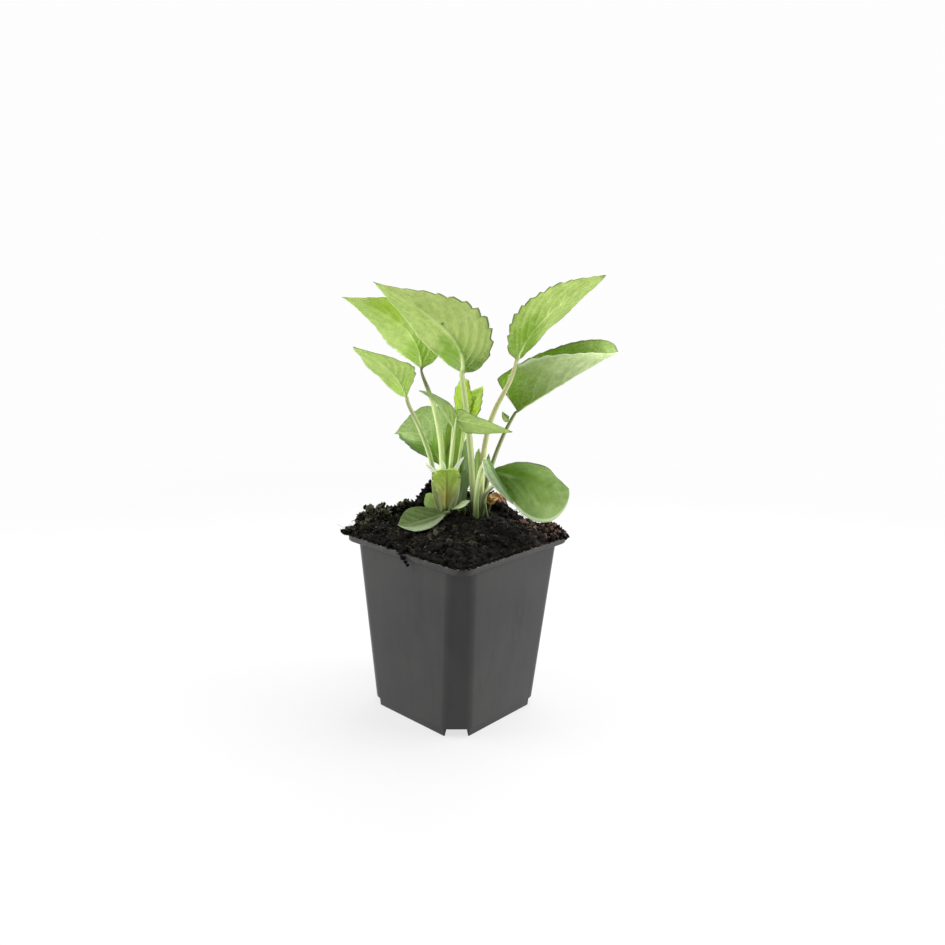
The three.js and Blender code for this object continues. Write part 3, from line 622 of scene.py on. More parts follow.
CROWN_SHEATHS = [
    sheath("sheath_middle", YOUNG_GREY, 3.4, 0.75, ((-5.9, 6.8, 106), (-5.9, 6.8, 108), (-5.9, 6.8, 109)),
           ((-5.9, 6.8, 110.5), (-5.9, 8.2, 121), (-5.4, 11.4, 135))),
    sheath("sheath_inner", GREEN_SHEATH, 3.4, 0.7,
           ((-14.1, 12.2, 106), (-14.1, 12.2, 112), (-14.1, 12.1, 118)),
           ((-14.2, 12, 122), (-14.8, 13, 142), (-13.4, 14.9, 163))),
    sheath("sheath_back", GREEN_SHEATH, 3.6, 0.7, ((-18.2, 9.1, 106), (-18.2, 9.1, 111), (-18.3, 9, 117)),
           ((-18.4, 8.9, 121), (-18.8, 10.6, 142), (-18.5, 12.2, 164))),
    sheath("sheath_left", PALE_SHEATH, 3, 0.75,
           ((-12.1, -0.9, 106), (-12.1, -0.9, 108), (-12.2, -0.9, 109)),
           ((-12.4, -0.9, 110.5), (-14.6, -2.2, 122), (-16.6, -3.3, 136))),
    sheath("sheath_right", PALE_SHEATH, 3, 0.75, ((-9.2, 1.8, 106), (-9.2, 1.8, 108), (-9.2, 1.9, 109)),
           ((-9.2, 2, 110.5), (-7.4, 4.4, 121), (-6.3, 6.6, 133))),
    bract("bract_left", 1.3, ((-10.3, -4, 133), (-10.3, -4.1, 133.5), (-10.4, -4.3, 134)),
          ((-10.5, -4.6, 134.6), (-14.4, -8, 135.4), (-16.6, -9.2, 139.5))),
    bract("bract_middle", 1.1, ((-8, -2.6, 133), (-8, -2.6, 133.4), (-8.1, -2.6, 133.9)),
          ((-8.1, -2.6, 134.4), (-8.6, -3, 137), (-9.3, -3.6, 140.7))),
    bract("bract_right", 1.2, ((-5.4, -0.6, 132.4), (-5.3, -0.5, 132.8), (-5.2, -0.4, 133.4)),
          ((-5, -0.2, 134), (-3.6, 1.2, 137.6), (-0.8, 4.3, 143.4))),
]
# Thin pieces that are made before a leaf.
EXTRAS = {"leaf_round_right": ROUND_RIGHT_STEM, "leaf_young_front": CROWN_SHEATHS}


# ---- how a leaf is made ----

LARGE_BLADE = 12           # half width in mm from which a blade is large
SMALL_BLADE = 5            # and up to which it is small
# Each for a large, a middling and a small blade.
HALF_STATIONS = (28, 16, 8)     # places across half of it
PLAIN_STATIONS = (64, 64, 30)   # places along it above its foot, if it has no teeth
LATERALS = (8, 5, 5)            # side veins over its length

FOOT_STATIONS = 14         # places along a blade below its first tooth
TIP_STATIONS = 8           # and above its last one
UNEVEN = 0.35              # mm that a blade strays from its smooth shape
UNEVEN_REACH = 8.0         # mm between its highs and lows
CRUMPLED_REACH = 2.2       # and between those of a withered blade
STEM_SWELL = 1.7           # power of the way up by which a stem gets thinner
STEM_LEVELS = 28
STEM_MAP_WIDTH = 1.6       # width of a stem in the "flat" UV map, as a share of its upper radius
MERGE = 0.07               # of the blade, over which the stem turns into its midrib
CHANNEL_DEPTH = 0.13       # of a stem's radius
CHANNEL_ANGLE = 0.55       # radians
FIRST_TOOTH = 0.14         # along the blade
LAST_TOOTH = 0.95
TOOTH_DEPTH = 0.085        # of the half width
TOOTH_POINT = 0.74         # of a tooth's length, where it is widest
TOOTH_VARIETY = 0.3        # by how much teeth differ in depth
TOOTH_STEPS = (0, 0.18, 0.36, 0.52, 0.65, 0.74, 0.81, 0.88, 0.94)
TOOTH_BAND = 0.72          # of the half width, from which the teeth are cut
BLADE_END = 0.999          # along the blade, short of the point where its two halves meet
BLADE_THICKNESS = 0.5
MARGIN_THICKNESS = 0.26
RIB_TIP = 0.3              # mm from a blade's middle surface to the back of its midrib, at the tip
RIB_TIP_REACH = 0.4        # and from the midrib's middle to its side
RIB_CHANNEL = 0.3          # mm that the upper face sinks in over the midrib, at the collar
RIB_CHANNEL_REACH = 0.8
LATERAL_RISE = 0.44        # how far a side vein climbs along the blade on its way to the margin
LATERAL_POWER = 1.3
LATERAL_WIDTH = 0.5
LATERAL_GROOVE = 0.13      # mm that a side vein sinks into the upper face
LATERAL_RIDGE = 0.22       # and mm that it stands out below
PUCKER = 0.22              # mm that the blade swells between two side veins
PUCKER_WIDTH = 1.7
WAVE = 0.45                # mm that the margin waves
WAVE_STARTS = (0.4, 2.2)   # radians, on the left and on the right
WAVES = 2.6                # over the length of a blade
FLAT_SCALE = 0.1           # the "flat" UV map is in centimetres


def bezier(controls, t):
    """Points and directions at t on a Bezier curve of three or four control points."""
    t = np.asarray(t, float)[:, None]
    levels = [np.array(c, float) + 0 * t for c in controls]
    while len(levels) > 2:
        levels = [lerp(a, b, t) for a, b in zip(levels, levels[1:])]
    return lerp(levels[0], levels[1], t), unit(levels[1] - levels[0])


def square_to(reference, direction):
    return unit(reference - (reference * direction).sum(-1, keepdims=True) * direction)


def blade_length(leaf):
    points, _ = bezier(leaf.blade, np.linspace(0, 1, 40))
    return np.linalg.norm(np.diff(points, axis=0), axis=1).sum()


def blade_size(leaf):
    """0 for a large blade, 1 for a middling and 2 for a small one."""
    return int(leaf.width <= LARGE_BLADE) + int(leaf.width <= SMALL_BLADE)


def collar_radius(leaf):
    return leaf.radii[1] * leaf.slim[1]


def half_width_at(leaf, half, t):
    swell = np.sin(np.pi * np.clip(t, 0, 1) ** half.early) ** half.taper
    return np.maximum(half.width * swell, collar_radius(leaf) * (1 - t))


def half_widths(leaf, t, s):
    """The half width at each station t, for each place s across."""
    left, right = (half_width_at(leaf, half, t)[:, None] for half in (leaf.left, leaf.right))
    return np.where(s < 0, left, right)


def notch_at(leaf, half, t):
    """The share of the half width that is cut away: none at a tooth's point, its depth between two."""
    if not leaf.teeth:
        return 0 * t
    pitch = (LAST_TOOTH - FIRST_TOOTH) / leaf.teeth
    tooth, part = np.divmod((t - FIRST_TOOTH) / pitch, 1)
    rising = 1 - np.clip(part / TOOTH_POINT, 0, 1)
    falling = np.clip((part - TOOTH_POINT) / (1 - TOOTH_POINT), 0, 1) ** 0.7
    unlike = 1 + TOOTH_VARIETY * np.sin(2.4 * tooth + half.width)
    ends = smooth(t, FIRST_TOOTH - 0.04, FIRST_TOOTH) * (1 - smooth(t, LAST_TOOTH, 0.98))
    return TOOTH_DEPTH * half.bite * np.where(part < TOOTH_POINT, rising, falling) * unlike * ends


def blade_stations(leaf):
    """Places along a blade, 0 to 1, with some at each tooth's point and foot."""
    start = FIRST_TOOTH * np.linspace(0.02, 1, FOOT_STATIONS, endpoint=False) ** 1.4
    if not leaf.teeth:
        steps = PLAIN_STATIONS[blade_size(leaf)]
        return np.concatenate([start, np.linspace(FIRST_TOOTH, BLADE_END, steps)])
    pitch = (LAST_TOOTH - FIRST_TOOTH) / leaf.teeth
    teeth = [FIRST_TOOTH + pitch * (k + step) for k in range(leaf.teeth) for step in TOOTH_STEPS]
    return np.concatenate([start, teeth, np.linspace(LAST_TOOTH, BLADE_END, TIP_STATIONS)])


def across_stations(leaf):
    """Places across a blade, from -1 at its left margin to 1 at its right one."""
    half = HALF_STATIONS[blade_size(leaf)]
    line = np.linspace(-1, 1, 2 * half + 1)
    return np.sign(line) * np.abs(line) ** 1.12


def blade_sheet(leaf, t, s, cut):
    """The blade's middle surface at stations t and s, teeth cut or not, its centre line and upper side."""
    centre, along = bezier(leaf.blade, t)
    up = square_to(np.array(leaf.upper, float), along)
    turn = np.radians(leaf.twist) * (t - 0.5)[:, None]
    up = up * np.cos(turn) + np.cross(along, up) * np.sin(turn)
    side = np.cross(along, up)
    left, right = leaf.left, leaf.right
    on_left = s < 0
    fold = np.radians(np.where(on_left, left.fold, right.fold))
    curl = np.radians(np.where(on_left, left.curl, right.curl))
    curl = np.where(np.abs(curl) < 1e-3, 1e-3, curl)
    bent = fold + curl * np.abs(s)
    x = np.sign(s) * (np.sin(bent) - np.sin(fold)) / curl
    h = (np.cos(fold) - np.cos(bent)) / curl
    reach = half_widths(leaf, t, s)
    lobe = np.where(on_left, left.lobe, right.lobe)
    back = lobe * reach * (1 - t[:, None]) ** 4 * np.abs(s) ** 1.5
    if cut:
        notch = np.where(on_left, notch_at(leaf, left, t)[:, None], notch_at(leaf, right, t)[:, None])
        reach = reach * (1 - notch * smooth(np.abs(s), TOOTH_BAND, 1.0))
    sheet = (centre[:, None] + side[:, None] * (reach * x)[..., None] + up[:, None] * (reach * h)[..., None]
             - along[:, None] * back[..., None])
    return sheet, centre, up


def uneven(sheet, reach):
    """A soft unevenness, in mm, at each point of a sheet."""
    flat = [fractal(point / reach) for point in sheet.reshape(-1, 3)]
    return np.array(flat).reshape(sheet.shape[:2])


def veins_at(leaf, t, s):
    """How near each point is to a side vein: its ridge, 0 to 1, and the swelling between two, 0 to 1."""
    half = half_widths(leaf, t, s)
    length = blade_length(leaf)
    t = t[:, None]
    s = np.abs(s)[None]
    count = LATERALS[blade_size(leaf)]
    origin = t - LATERAL_RISE * s ** LATERAL_POWER
    climb = LATERAL_RISE * LATERAL_POWER * s ** (LATERAL_POWER - 1)
    slope = length * climb / np.maximum(half, 1)
    phase = origin * count
    near = np.abs(phase - np.round(phase)) / count * length / np.sqrt(1 + slope ** 2)
    there = smooth(origin, -0.06, 0.02) * (1 - smooth(s, 0.86, 1.0)) * (1 - smooth(t, 0.86, 0.97))
    ridge = np.exp(-(near / LATERAL_WIDTH) ** 2) * there * lerp(1, 0.45, s)
    between = 1 - np.exp(-(near / PUCKER_WIDTH) ** 2)
    swelling = between * smooth(s * half, 0.4, 3) * (1 - smooth(s, 0.75, 1.0)) * smooth(half, 2, 9)
    return ridge, swelling


def raised_by(leaf, t, s, sheet, swelling):
    """How far each point of a blade stands up from its smooth sheet, mm."""
    half = half_widths(leaf, t, s)
    start = np.where(s < 0, *WAVE_STARTS)
    wave = WAVE * np.sin(2 * np.pi * WAVES * t[:, None] + start) * np.abs(s) ** 3
    raised = PUCKER * swelling + wave * smooth(half, 3, 12)
    stray = leaf.crumple or UNEVEN * smooth(half, 1, 8)
    reach = CRUMPLED_REACH if leaf.crumple else UNEVEN_REACH
    raised += stray * uneven(sheet, reach) * smooth(t, 0, 0.15)[:, None]
    if leaf.dish:
        across, along, reach, depth = leaf.dish
        away = ((s * half - across) ** 2 + (t[:, None] * blade_length(leaf) - along) ** 2) / reach ** 2
        raised -= depth * np.exp(-away)
    return raised


def blade_rings(leaf, t, s):
    """A blade's two skins as one ring of points a station, with its centre line and upper side."""
    plain, centre, up = blade_sheet(leaf, t, s, cut=False)
    sheet, _, _ = blade_sheet(leaf, t, s, cut=True)
    normal = unit(np.cross(np.gradient(plain, axis=1), np.gradient(plain, axis=0)))
    ridge, swelling = veins_at(leaf, t, s)
    raised = raised_by(leaf, t, s, plain, swelling)
    off_midrib = np.abs(s) * half_widths(leaf, t, s)
    from_collar = np.sqrt(t)[:, None]
    rib_reach = lerp(collar_radius(leaf), RIB_TIP_REACH, from_collar)
    rib = lerp(collar_radius(leaf) * 1.1, RIB_TIP, from_collar)
    rib = np.maximum(rib - BLADE_THICKNESS / 2, 0.1)
    rib = rib * np.exp(-(off_midrib / rib_reach) ** 2)
    channel = RIB_CHANNEL * (1 - t[:, None]) * np.exp(-(off_midrib / RIB_CHANNEL_REACH) ** 2)
    thickness = lerp(BLADE_THICKNESS, MARGIN_THICKNESS, smooth(np.abs(s), 0.5, 1.0)) / 2
    over = sheet + normal * (raised + thickness - LATERAL_GROOVE * ridge - channel)[..., None]
    under = sheet + normal * (raised - thickness - LATERAL_RIDGE * ridge - rib)[..., None]
    return np.concatenate([over, under[:, ::-1]], 1), centre, up


def stem_rings(count, centre, up, radius):
    """Rings of points round a stem's path, with a shallow channel along the upper side."""
    along = np.gradient(centre, axis=0)
    for _ in range(3):
        along[1:-1] = along[:-2] + 2 * along[1:-1] + along[2:]
    along = unit(along)
    ups = np.empty_like(along)
    for k in range(len(along) - 1, -1, -1):
        up = square_to(up, along[k])
        ups[k] = up
    sides = np.cross(along, ups)
    angles = np.pi * (1 - (np.arange(count) + 0.5) / (count // 2))
    reach = radius[:, None] * (1 - CHANNEL_DEPTH * np.exp(-((angles - np.pi / 2) / CHANNEL_ANGLE) ** 2))
    return (centre[:, None] + sides[:, None] * (reach * np.cos(angles))[..., None]
            + ups[:, None] * (reach * np.sin(angles))[..., None])


def leaf_values(leaf, t, s, share, path):
    """What a leaf's material reads: two UV maps, how much of a point is blade, and the face it is on."""
    stem = np.zeros(STEM_LEVELS)
    around = np.concatenate([s, s[::-1]])
    along = np.concatenate([stem, t])[:, None]
    run = np.concatenate([[0], np.cumsum(np.linalg.norm(np.diff(path, axis=0), axis=1))])
    distance = np.concatenate([run[:STEM_LEVELS] - run[STEM_LEVELS], t * blade_length(leaf)])[:, None]
    stem_width = np.full((STEM_LEVELS, len(s)), leaf.radii[1] * STEM_MAP_WIDTH)
    width = np.concatenate([stem_width, half_widths(leaf, t, s)])
    width = np.concatenate([width, width[:, ::-1]], 1)
    grid = np.ones(width.shape)
    return {
        "blade": np.stack([(0.5 + 0.5 * around) * grid, along * grid], -1),
        "flat": np.stack([around * width, distance * grid], -1) * FLAT_SCALE,
        "on_blade": np.concatenate([stem, share])[:, None] * grid,
        "upper_face": np.repeat([1.0, 0.0], len(s)) * grid,
    }


def leaf_form(leaf):
    """A whole leaf: its stem, the midrib that this turns into, and the blade with its veins and teeth."""
    t = blade_stations(leaf)
    s = across_stations(leaf)
    blade, centre, up = blade_rings(leaf, t, s)
    collar = collar_radius(leaf)
    stem_t = np.linspace(0, 1, STEM_LEVELS, endpoint=False)
    stem_centre, _ = bezier((*leaf.stem, leaf.blade[0]), stem_t)
    share = smooth(t, 0, MERGE)
    merging = int((t < MERGE).sum()) + 2
    low_centre = centre[:merging] - up[:merging] * (share[:merging, None] * collar * 0.5)
    path = np.concatenate([stem_centre, low_centre])
    stem_radius = lerp(leaf.radii[0] * leaf.slim[0], collar, stem_t ** STEM_SWELL)
    radius = np.concatenate([stem_radius, np.full(merging, collar)])
    tubes = stem_rings(2 * len(s), path, up[0], radius)
    blade[:merging] = lerp(tubes[STEM_LEVELS:], blade[:merging], share[:merging, None, None])
    rings = np.concatenate([tubes[:STEM_LEVELS], blade])
    return loft(rings, leaf_values(leaf, t, s, share, path))


# ---- the leaves' material ----

DARK_STEM_FOOT = (50, 68, 20)     # a darker green over the foot of a stem, just above the soil
SOIL_LEVEL = 0.110            # metres
DARK_FOOT_TOP = 0.132
DARK_FOOT_SHARE = 0.92
STEM_TOP = (-2.2, -0.7)       # cm along the stem from the collar, where its last part's colour comes in
CLOUD_TINTS = ((0.84, 0.84, 0.8, 1.0), (1.1, 1.08, 1.1, 1.0))
BLOTCH_TINTS = ((0.86, 0.88, 0.8, 1.0), (1.12, 1.1, 1.16, 1.0))
RIM_SHARE = 0.88
LEAF_RELIEF = 0.00025         # metres


class LeafSkin:
    """The material of one leaf, drawn over its two UV maps, "blade" in shares and "flat" in centimetres."""

    def __init__(self, leaf):
        self.leaf = leaf
        self.finish = leaf.finish
        self.material, g = new_material(leaf.name)
        self.g = g
        self.flat = g.uv("flat")
        self.u, self.v, _ = g.parts(g.uv("blade"))
        self.across = abs(self.u * 2.0 - 1.0)
        self.on_blade = g.attribute("on_blade")
        self.upper_face = g.attribute("upper_face")
        self.clouds = g.span(g.noise(self.flat, 1.1, 4.0), 0.3, 0.72)
        self.flecks = g.span(g.noise(self.flat, 9.0, 2.0), 0.35, 0.75)
        self.small_net, net = self.nets()
        veins = g.math("MAXIMUM", self.midrib(), self.laterals())
        self.veins = g.math("MAXIMUM", veins, net * 0.34) * self.on_blade

    def nets(self):
        """The finest veins, round small cells, and the next ones, round larger cells."""
        g = self.g
        inputs = {"Vector": self.flat, "Scale": 6.0}
        stray = g.vector("MULTIPLY", g.node("ShaderNodeTexNoise", inputs, 1), (0.06, 0.06, 0.06))
        bent = g.vector("ADD", self.flat, stray)
        small = 1.0 - g.span(g.cell_edge(bent, 14.0), 0.0, 0.16)
        return small, 1.0 - g.span(g.cell_edge(bent, 5.0), 0.0, 0.11)

    def midrib(self):
        g = self.g
        collar = collar_radius(self.leaf)
        mm_across = abs(g.parts(self.flat)[0] * 10.0)
        width = self.v * (-0.5 * collar) + 0.95 * collar
        line = 1.0 - g.span(mm_across / width, 0.45, 1.25)
        return line * g.span(self.v, 1.0, 0.25, 0.35, 1.0)

    def laterals(self):
        """The side veins, each climbing from the midrib to the margin."""
        g = self.g
        count = LATERALS[blade_size(self.leaf)]
        length = blade_length(self.leaf)
        slant = math.hypot(1, length * LATERAL_RISE / self.leaf.width)
        wander = g.noise(self.flat, 1.6, 2.0) * 0.05 - 0.025
        origin = self.v - self.across ** LATERAL_POWER * LATERAL_RISE + wander
        near = g.math("PINGPONG", origin * float(count), 0.5) * (length / count / slant)
        thin = self.across * -0.22 + 0.42
        line = 1.0 - g.span(near / thin, 0.35, 1.5)
        line = line * g.span(origin, -0.04, 0.02) * g.span(self.across, 0.98, 0.6)
        return line * g.span(self.v, 0.0, 0.8, 0.5, 0.25)

    def face_colour(self):
        g = self.g
        near = linear(*self.finish.near)
        vein = linear(*self.finish.vein)
        blotches = g.span(g.noise(self.flat, 3.6, 3.0, 0.7), 0.34, 0.66)
        # Near the stem both faces turn into the near colour: on the darker leaves, painted shade under the
        # crown's other leaves.
        far = g.span(self.v + (g.noise(self.flat, 0.7, 2.0) * 0.3 - 0.15), 0.04, 0.6)
        face = g.mix(self.upper_face, linear(*self.finish.lower), linear(*self.finish.upper))
        face = g.mix(far, near, face)
        face = g.mix(1.0, face, g.mix(self.clouds, *CLOUD_TINTS), "MULTIPLY")
        face = g.mix(1.0, face, g.mix(blotches, *BLOTCH_TINTS), "MULTIPLY")
        face = g.mix(self.small_net * 0.22, face, near)
        face = g.mix(self.flecks * 0.16, face, vein)
        face = g.mix(self.veins, face, vein)
        for patch in self.finish.patches:
            face = self.patched(face, patch)
        return face

    def patched(self, face, patch):
        g = self.g
        middle = (patch.across * FLAT_SCALE, patch.along * FLAT_SCALE, 0.0)
        away = g.vector("DISTANCE", self.flat, middle, output="Value")
        away = away + (self.clouds * (patch.reach * 0.05) - patch.reach * 0.025)
        there = g.span(away, patch.reach * 0.1, patch.reach * 0.02) * patch.share
        return g.mix(there, face, linear(*patch.colour))

    def rimmed(self, face):
        g = self.g
        left, right = self.finish.rim_from
        on_right = g.math("GREATER_THAN", self.u, 0.5)
        start = on_right * (right - left) + left
        side = g.span(self.across, start, start * 0.5 + 0.5)
        margin = g.math("MAXIMUM", side, g.span(self.v, 0.955, 0.99))
        # A margin much paler than its blade is painted highlight where light catches the edge.
        rim = g.between(on_right, self.finish.rims)
        return g.mix(margin * RIM_SHARE, face, rim)

    def stem_colour(self):
        g = self.g
        side = linear(*self.finish.stem_shade_side)
        streaks = g.noise(g.vector("MULTIPLY", self.flat, (9.0, 0.6, 1.0)), 2.0, 3.0)
        # Paler along the stem's middle and darker on its flanks: painted highlight and shade, as on a round
        # stem.
        stem = g.mix(g.span(self.across, 0.35, 0.9), linear(*self.finish.stem), side)
        stem = g.mix(g.span(streaks, 0.4, 0.75) * 0.45, stem, side)
        if self.finish.stem_top:
            up = g.span(g.parts(self.flat)[1], *STEM_TOP)
            stem = g.mix(up, stem, linear(*self.finish.stem_top))
        height = g.parts(g.place())[2]
        return g.mix(g.span(height, DARK_FOOT_TOP, SOIL_LEVEL) * DARK_FOOT_SHARE, stem, linear(*DARK_STEM_FOOT))

    def relief(self):
        """Grooves above and ridges below, with a fine grain, shallower towards the tip and on the stem."""
        g = self.g
        height = self.veins * (self.upper_face * -1.6 + 0.8) + self.small_net * -0.08
        height = height + g.noise(self.flat, 9.0, 2.0) * 0.2
        height = height * g.span(self.v, 1.0, 0.6, 0.1, 1.0) * (self.on_blade * 0.75 + 0.25)
        return g.bump(height, LEAF_RELIEF, 0.5)

    def finished(self):
        g = self.g
        colour = g.mix(self.on_blade, self.stem_colour(), self.rimmed(self.face_colour()))
        bump = self.relief()
        sheen = {"Sheen Weight": 0.05, "Sheen Roughness": 0.4}
        skin = g.skin(colour, self.flecks * 0.14 + 0.42, bump, 0.25, **sheen)
        glow = g.mix(self.veins * 0.5, linear(*self.finish.glow), linear(*self.finish.lower))
        through = g.node("ShaderNodeBsdfTranslucent", {"Color": glow, "Normal": bump})
        g.finish(g.blend(self.on_blade * self.finish.share, skin, through))
        return self.material


def make_leaves():
    for leaf in LEAVES:
        for extra in EXTRAS.get(leaf.name, []):
            make_piece(leaf_form(extra), extra.name, leaf.name, LeafSkin(extra).finished())
        form = leaf_form(leaf)
        if leaf.name == "leaf_long_right":
            form = form.join(leaf_form(LEAFLET))
        make_piece(form, f"{leaf.name}_blade", leaf.name, LeafSkin(leaf).finished(), [leaf.name])


# ---- the pot ----

POT_EDGES = 0.0004          # metres that its edges are rounded
POT_CORNERS = 0.0026        # and its corners, where a wall turns into the cut between two walls
CORNER_ANGLE = math.radians(24)   # turns from which an edge belongs to a corner, is rounded, is sharp
EDGE_ANGLE = math.radians(28)
SHARP_ANGLE = math.radians(32)
FLAT_ANGLE = math.radians(0.6)    # and up to which two faces are one
WELD = 1e-6                 # metres between points that are one
LONG_EDGE = 0.06            # metres of rise from which an edge belongs to a corner
PLASTIC = ((42, 42, 42), (50, 50, 49))  # sRGB
STREAK = (60, 60, 60)
DUST = (96, 90, 82)
SPECK = (120, 112, 102)
DUSTY = (0.093, 0.101)      # metres of height over which dust sets in
PLASTIC_RELIEF = 0.00012    # metres


def pot_mesh():
    """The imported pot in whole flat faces, with its long corner edges marked for the wider rounding."""
    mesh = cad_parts["pot"].data.copy()
    mesh.materials.clear()
    shape = bmesh.new()
    shape.from_mesh(mesh)
    bmesh.ops.remove_doubles(shape, verts=shape.verts, dist=WELD)
    bmesh.ops.dissolve_limit(shape, angle_limit=FLAT_ANGLE, verts=shape.verts, edges=shape.edges)
    weight = shape.edges.layers.float.new("bevel_weight_edge")
    for edge in shape.edges:
        rise = abs(edge.verts[0].co.z - edge.verts[1].co.z)
        if len(edge.link_faces) == 2 and edge.calc_face_angle(0) > CORNER_ANGLE and rise > LONG_EDGE:
            edge[weight] = 1.0
    shape.to_mesh(mesh)
    shape.free()
    return mesh


def make_pot():
    """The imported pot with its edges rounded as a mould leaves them."""
    pot = add_object("pot_body", pot_mesh())
    corners = pot.modifiers.new("corners", "BEVEL")
    corners.limit_method = "WEIGHT"
    corners.width = POT_CORNERS
    corners.segments = 7
    corners.use_clamp_overlap = False
    edges = pot.modifiers.new("edges", "BEVEL")
    edges.limit_method = "ANGLE"
    edges.angle_limit = EDGE_ANGLE
    edges.width = POT_EDGES
    edges.segments = 3
    settled = bpy.data.meshes.new_from_object(pot.evaluated_get(bpy.context.evaluated_depsgraph_get()))
    pot.modifiers.clear()
    pot.data = settled
    settled.name = "pot_body"
    settled.shade_smooth()
    settled.set_sharp_from_angle(angle=SHARP_ANGLE)
    settled.materials.clear()
    settled.materials.append(pot_material())
    place_piece(pot, "pot_plastic", ["pot"])


def pot_material():
    """Matt recycled plastic with faint drawn streaks, dust and specks of soil near the rim, and scuffs."""
    material, g = new_material("pot_plastic")
    place = g.place()
    streaks = g.noise(g.vector("MULTIPLY", place, (1.0, 1.0, 0.05)), 260.0, 4.0, 0.6)
    patches = g.noise(place, 24.0, 4.0, 0.6)
    grain = g.noise(place, 2600.0, 2.0, 0.5)
    specks = g.span(g.noise(place, 900.0, 2.0), 0.71, 0.78)
    scuffs = g.span(g.noise(g.vector("MULTIPLY", place, (1.0, 1.0, 0.22)), 60.0, 5.0, 0.7), 0.52, 0.75)
    near_rim = g.span(g.parts(place)[2], *DUSTY)
    dust = near_rim * g.span(g.noise(place, 420.0, 3.0), 0.42, 0.7)
    colour = g.between(g.span(patches, 0.3, 0.7), PLASTIC)
    colour = g.mix(g.span(streaks, 0.35, 0.7) * 0.15, colour, linear(*STREAK))
    colour = g.mix(dust * 0.28, colour, linear(*DUST))
    colour = g.mix(specks * 0.25, colour, linear(*SPECK))
    bump = g.bump(grain * 0.5 + streaks * 0.12, PLASTIC_RELIEF, 0.5)
    g.finish(g.skin(colour, scuffs * 0.16 + 0.4, bump, 0.3))
    return material


# ---- the soil ----

SEED = 7
GRID_STEP = 0.5             # mm between the points where the packed soil's height is read
HOLE_REACH = 3.5            # mm, wider than any stem's hole
RIM_TOP = 100.0             # mm
OUTLINE_POINTS = 380
SIDE_RINGS = 6              # up to SIDE_TOP mm below the rim
SIDE_TOP = 3
TOP_RINGS = 96
EVEN_RINGS = 8              # of the top's, from the edge on, over which it gets rough
SOIL_EDGE = 44.3            # mm from the axis to its edge on the rim, and the radius of its corners there
SOIL_CORNER = 7.3
SOIL_NECK = 43.0            # mm from the axis to its side, NECK_DEPTH mm below the rim
NECK_DEPTH = 1
SOIL_REACH = 44.0           # mm from the axis up to where loose bits lie
COARSE = (7.0, 2.2)         # size and depth of the lumps in its top, mm
FINE = (2.2, 1.0)
BODY_TINT = (0.16, 0.4)     # its mean and how far it strays, over TINT_REACH mm
TINT_REACH = 3.0
HOLLOW = (-7.0, -24.0, 9.0, 1.8)     # under the edge of leaf_low_front: x, y, reach and depth, mm


class SoilTop:
    """The height of the packed soil over the pot, with the stems' holes filled."""

    def __init__(self):
        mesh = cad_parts["soil"].data
        points = [v.co / MM for v in mesh.vertices]
        self.tree = BVHTree.FromPolygons(points, [face.vertices for face in mesh.polygons])
        low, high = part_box("soil")
        self.low = low.z / MM
        self.line = np.arange(-high.x / MM + 0.1, high.x / MM, GRID_STEP)
        ground = np.full((len(self.line), len(self.line)), np.nan)
        for i, x in enumerate(self.line):
            for j, y in enumerate(self.line):
                hit = self.tree.ray_cast(Vector((x, y, 2 * RIM_TOP)), Vector((0, 0, -1)))[0]
                ground[i, j] = hit.z if hit else RIM_TOP
        reach = int(HOLE_REACH / GRID_STEP)
        steps = range(-reach, reach + 1)
        shifts = [(i, j) for i in steps for j in steps if i * i + j * j <= reach * reach]
        self.ground = self.swept(self.swept(ground, shifts, np.maximum), shifts, np.minimum)

    @staticmethod
    def swept(ground, shifts, pick):
        """The highest or the lowest of each point's surroundings."""
        reach = max(i for i, _ in shifts)
        padded = np.pad(ground, reach, mode="edge")
        size = len(ground)
        result = ground
        for i, j in shifts:
            result = pick(result, padded[reach + i:reach + i + size, reach + j:reach + j + size])
        return result

    def height(self, x, y):
        """The height at points x, y, between the grid's points."""
        place = (np.stack([x, y]) - self.line[0]) / GRID_STEP
        place = np.clip(place, 0, len(self.line) - 1.001)
        cell = place.astype(int)
        part = place - cell
        i, j = cell
        low = lerp(self.ground[i, j], self.ground[i, j + 1], part[1])
        high = lerp(self.ground[i + 1, j], self.ground[i + 1, j + 1], part[1])
        hollow_x, hollow_y, reach, depth = HOLLOW
        away = ((x - hollow_x) ** 2 + (y - hollow_y) ** 2) / reach ** 2
        return lerp(low, high, part[0]) - depth * np.exp(-away)

    def reach(self, z, towards):
        """How far the packed soil goes from the axis at a height."""
        return self.tree.ray_cast(Vector((0, 0, z)), Vector(towards).normalized())[3]


def rounded_square(half, radius, count):
    """Points round a square of a given half side, evenly spaced from the middle of its +X side."""
    straight = 2 * (half - radius)
    side = straight + math.pi / 2 * radius
    points = []
    for k in range(count):
        run = k / count * 4 * side + straight / 2
        corner, run = divmod(run, side)
        if run < straight:
            point = Vector((half, run - straight / 2, 0))
        else:
            angle = (run - straight) / radius
            middle = half - radius
            point = Vector((middle + radius * math.cos(angle), middle + radius * math.sin(angle), 0))
        point.rotate(Matrix.Rotation(corner * math.pi / 2, 3, "Z"))
        points.append(point[:2])
    return np.array(points)


def rough_ground(x, y, size, depth):
    """A seeded uneven surface: heights of about depth, with lumps of about size."""
    places = (Vector((a / size, b / size, SEED)) for a, b in zip(x, y))
    return np.array([fractal(place, 4) for place in places]) * depth


def level_ring(outline, z):
    return np.column_stack([outline, np.full(len(outline), z)])


def side_outline(top, z):
    """The packed soil's outline at a height inside the pot."""
    half = top.reach(z, (1, 0, 0))
    diagonal = top.reach(z, (1, 1, 0))
    radius = (math.sqrt(2) * half - diagonal) / (math.sqrt(2) - 1)
    return rounded_square(half, max(radius, 1.0), OUTLINE_POINTS)


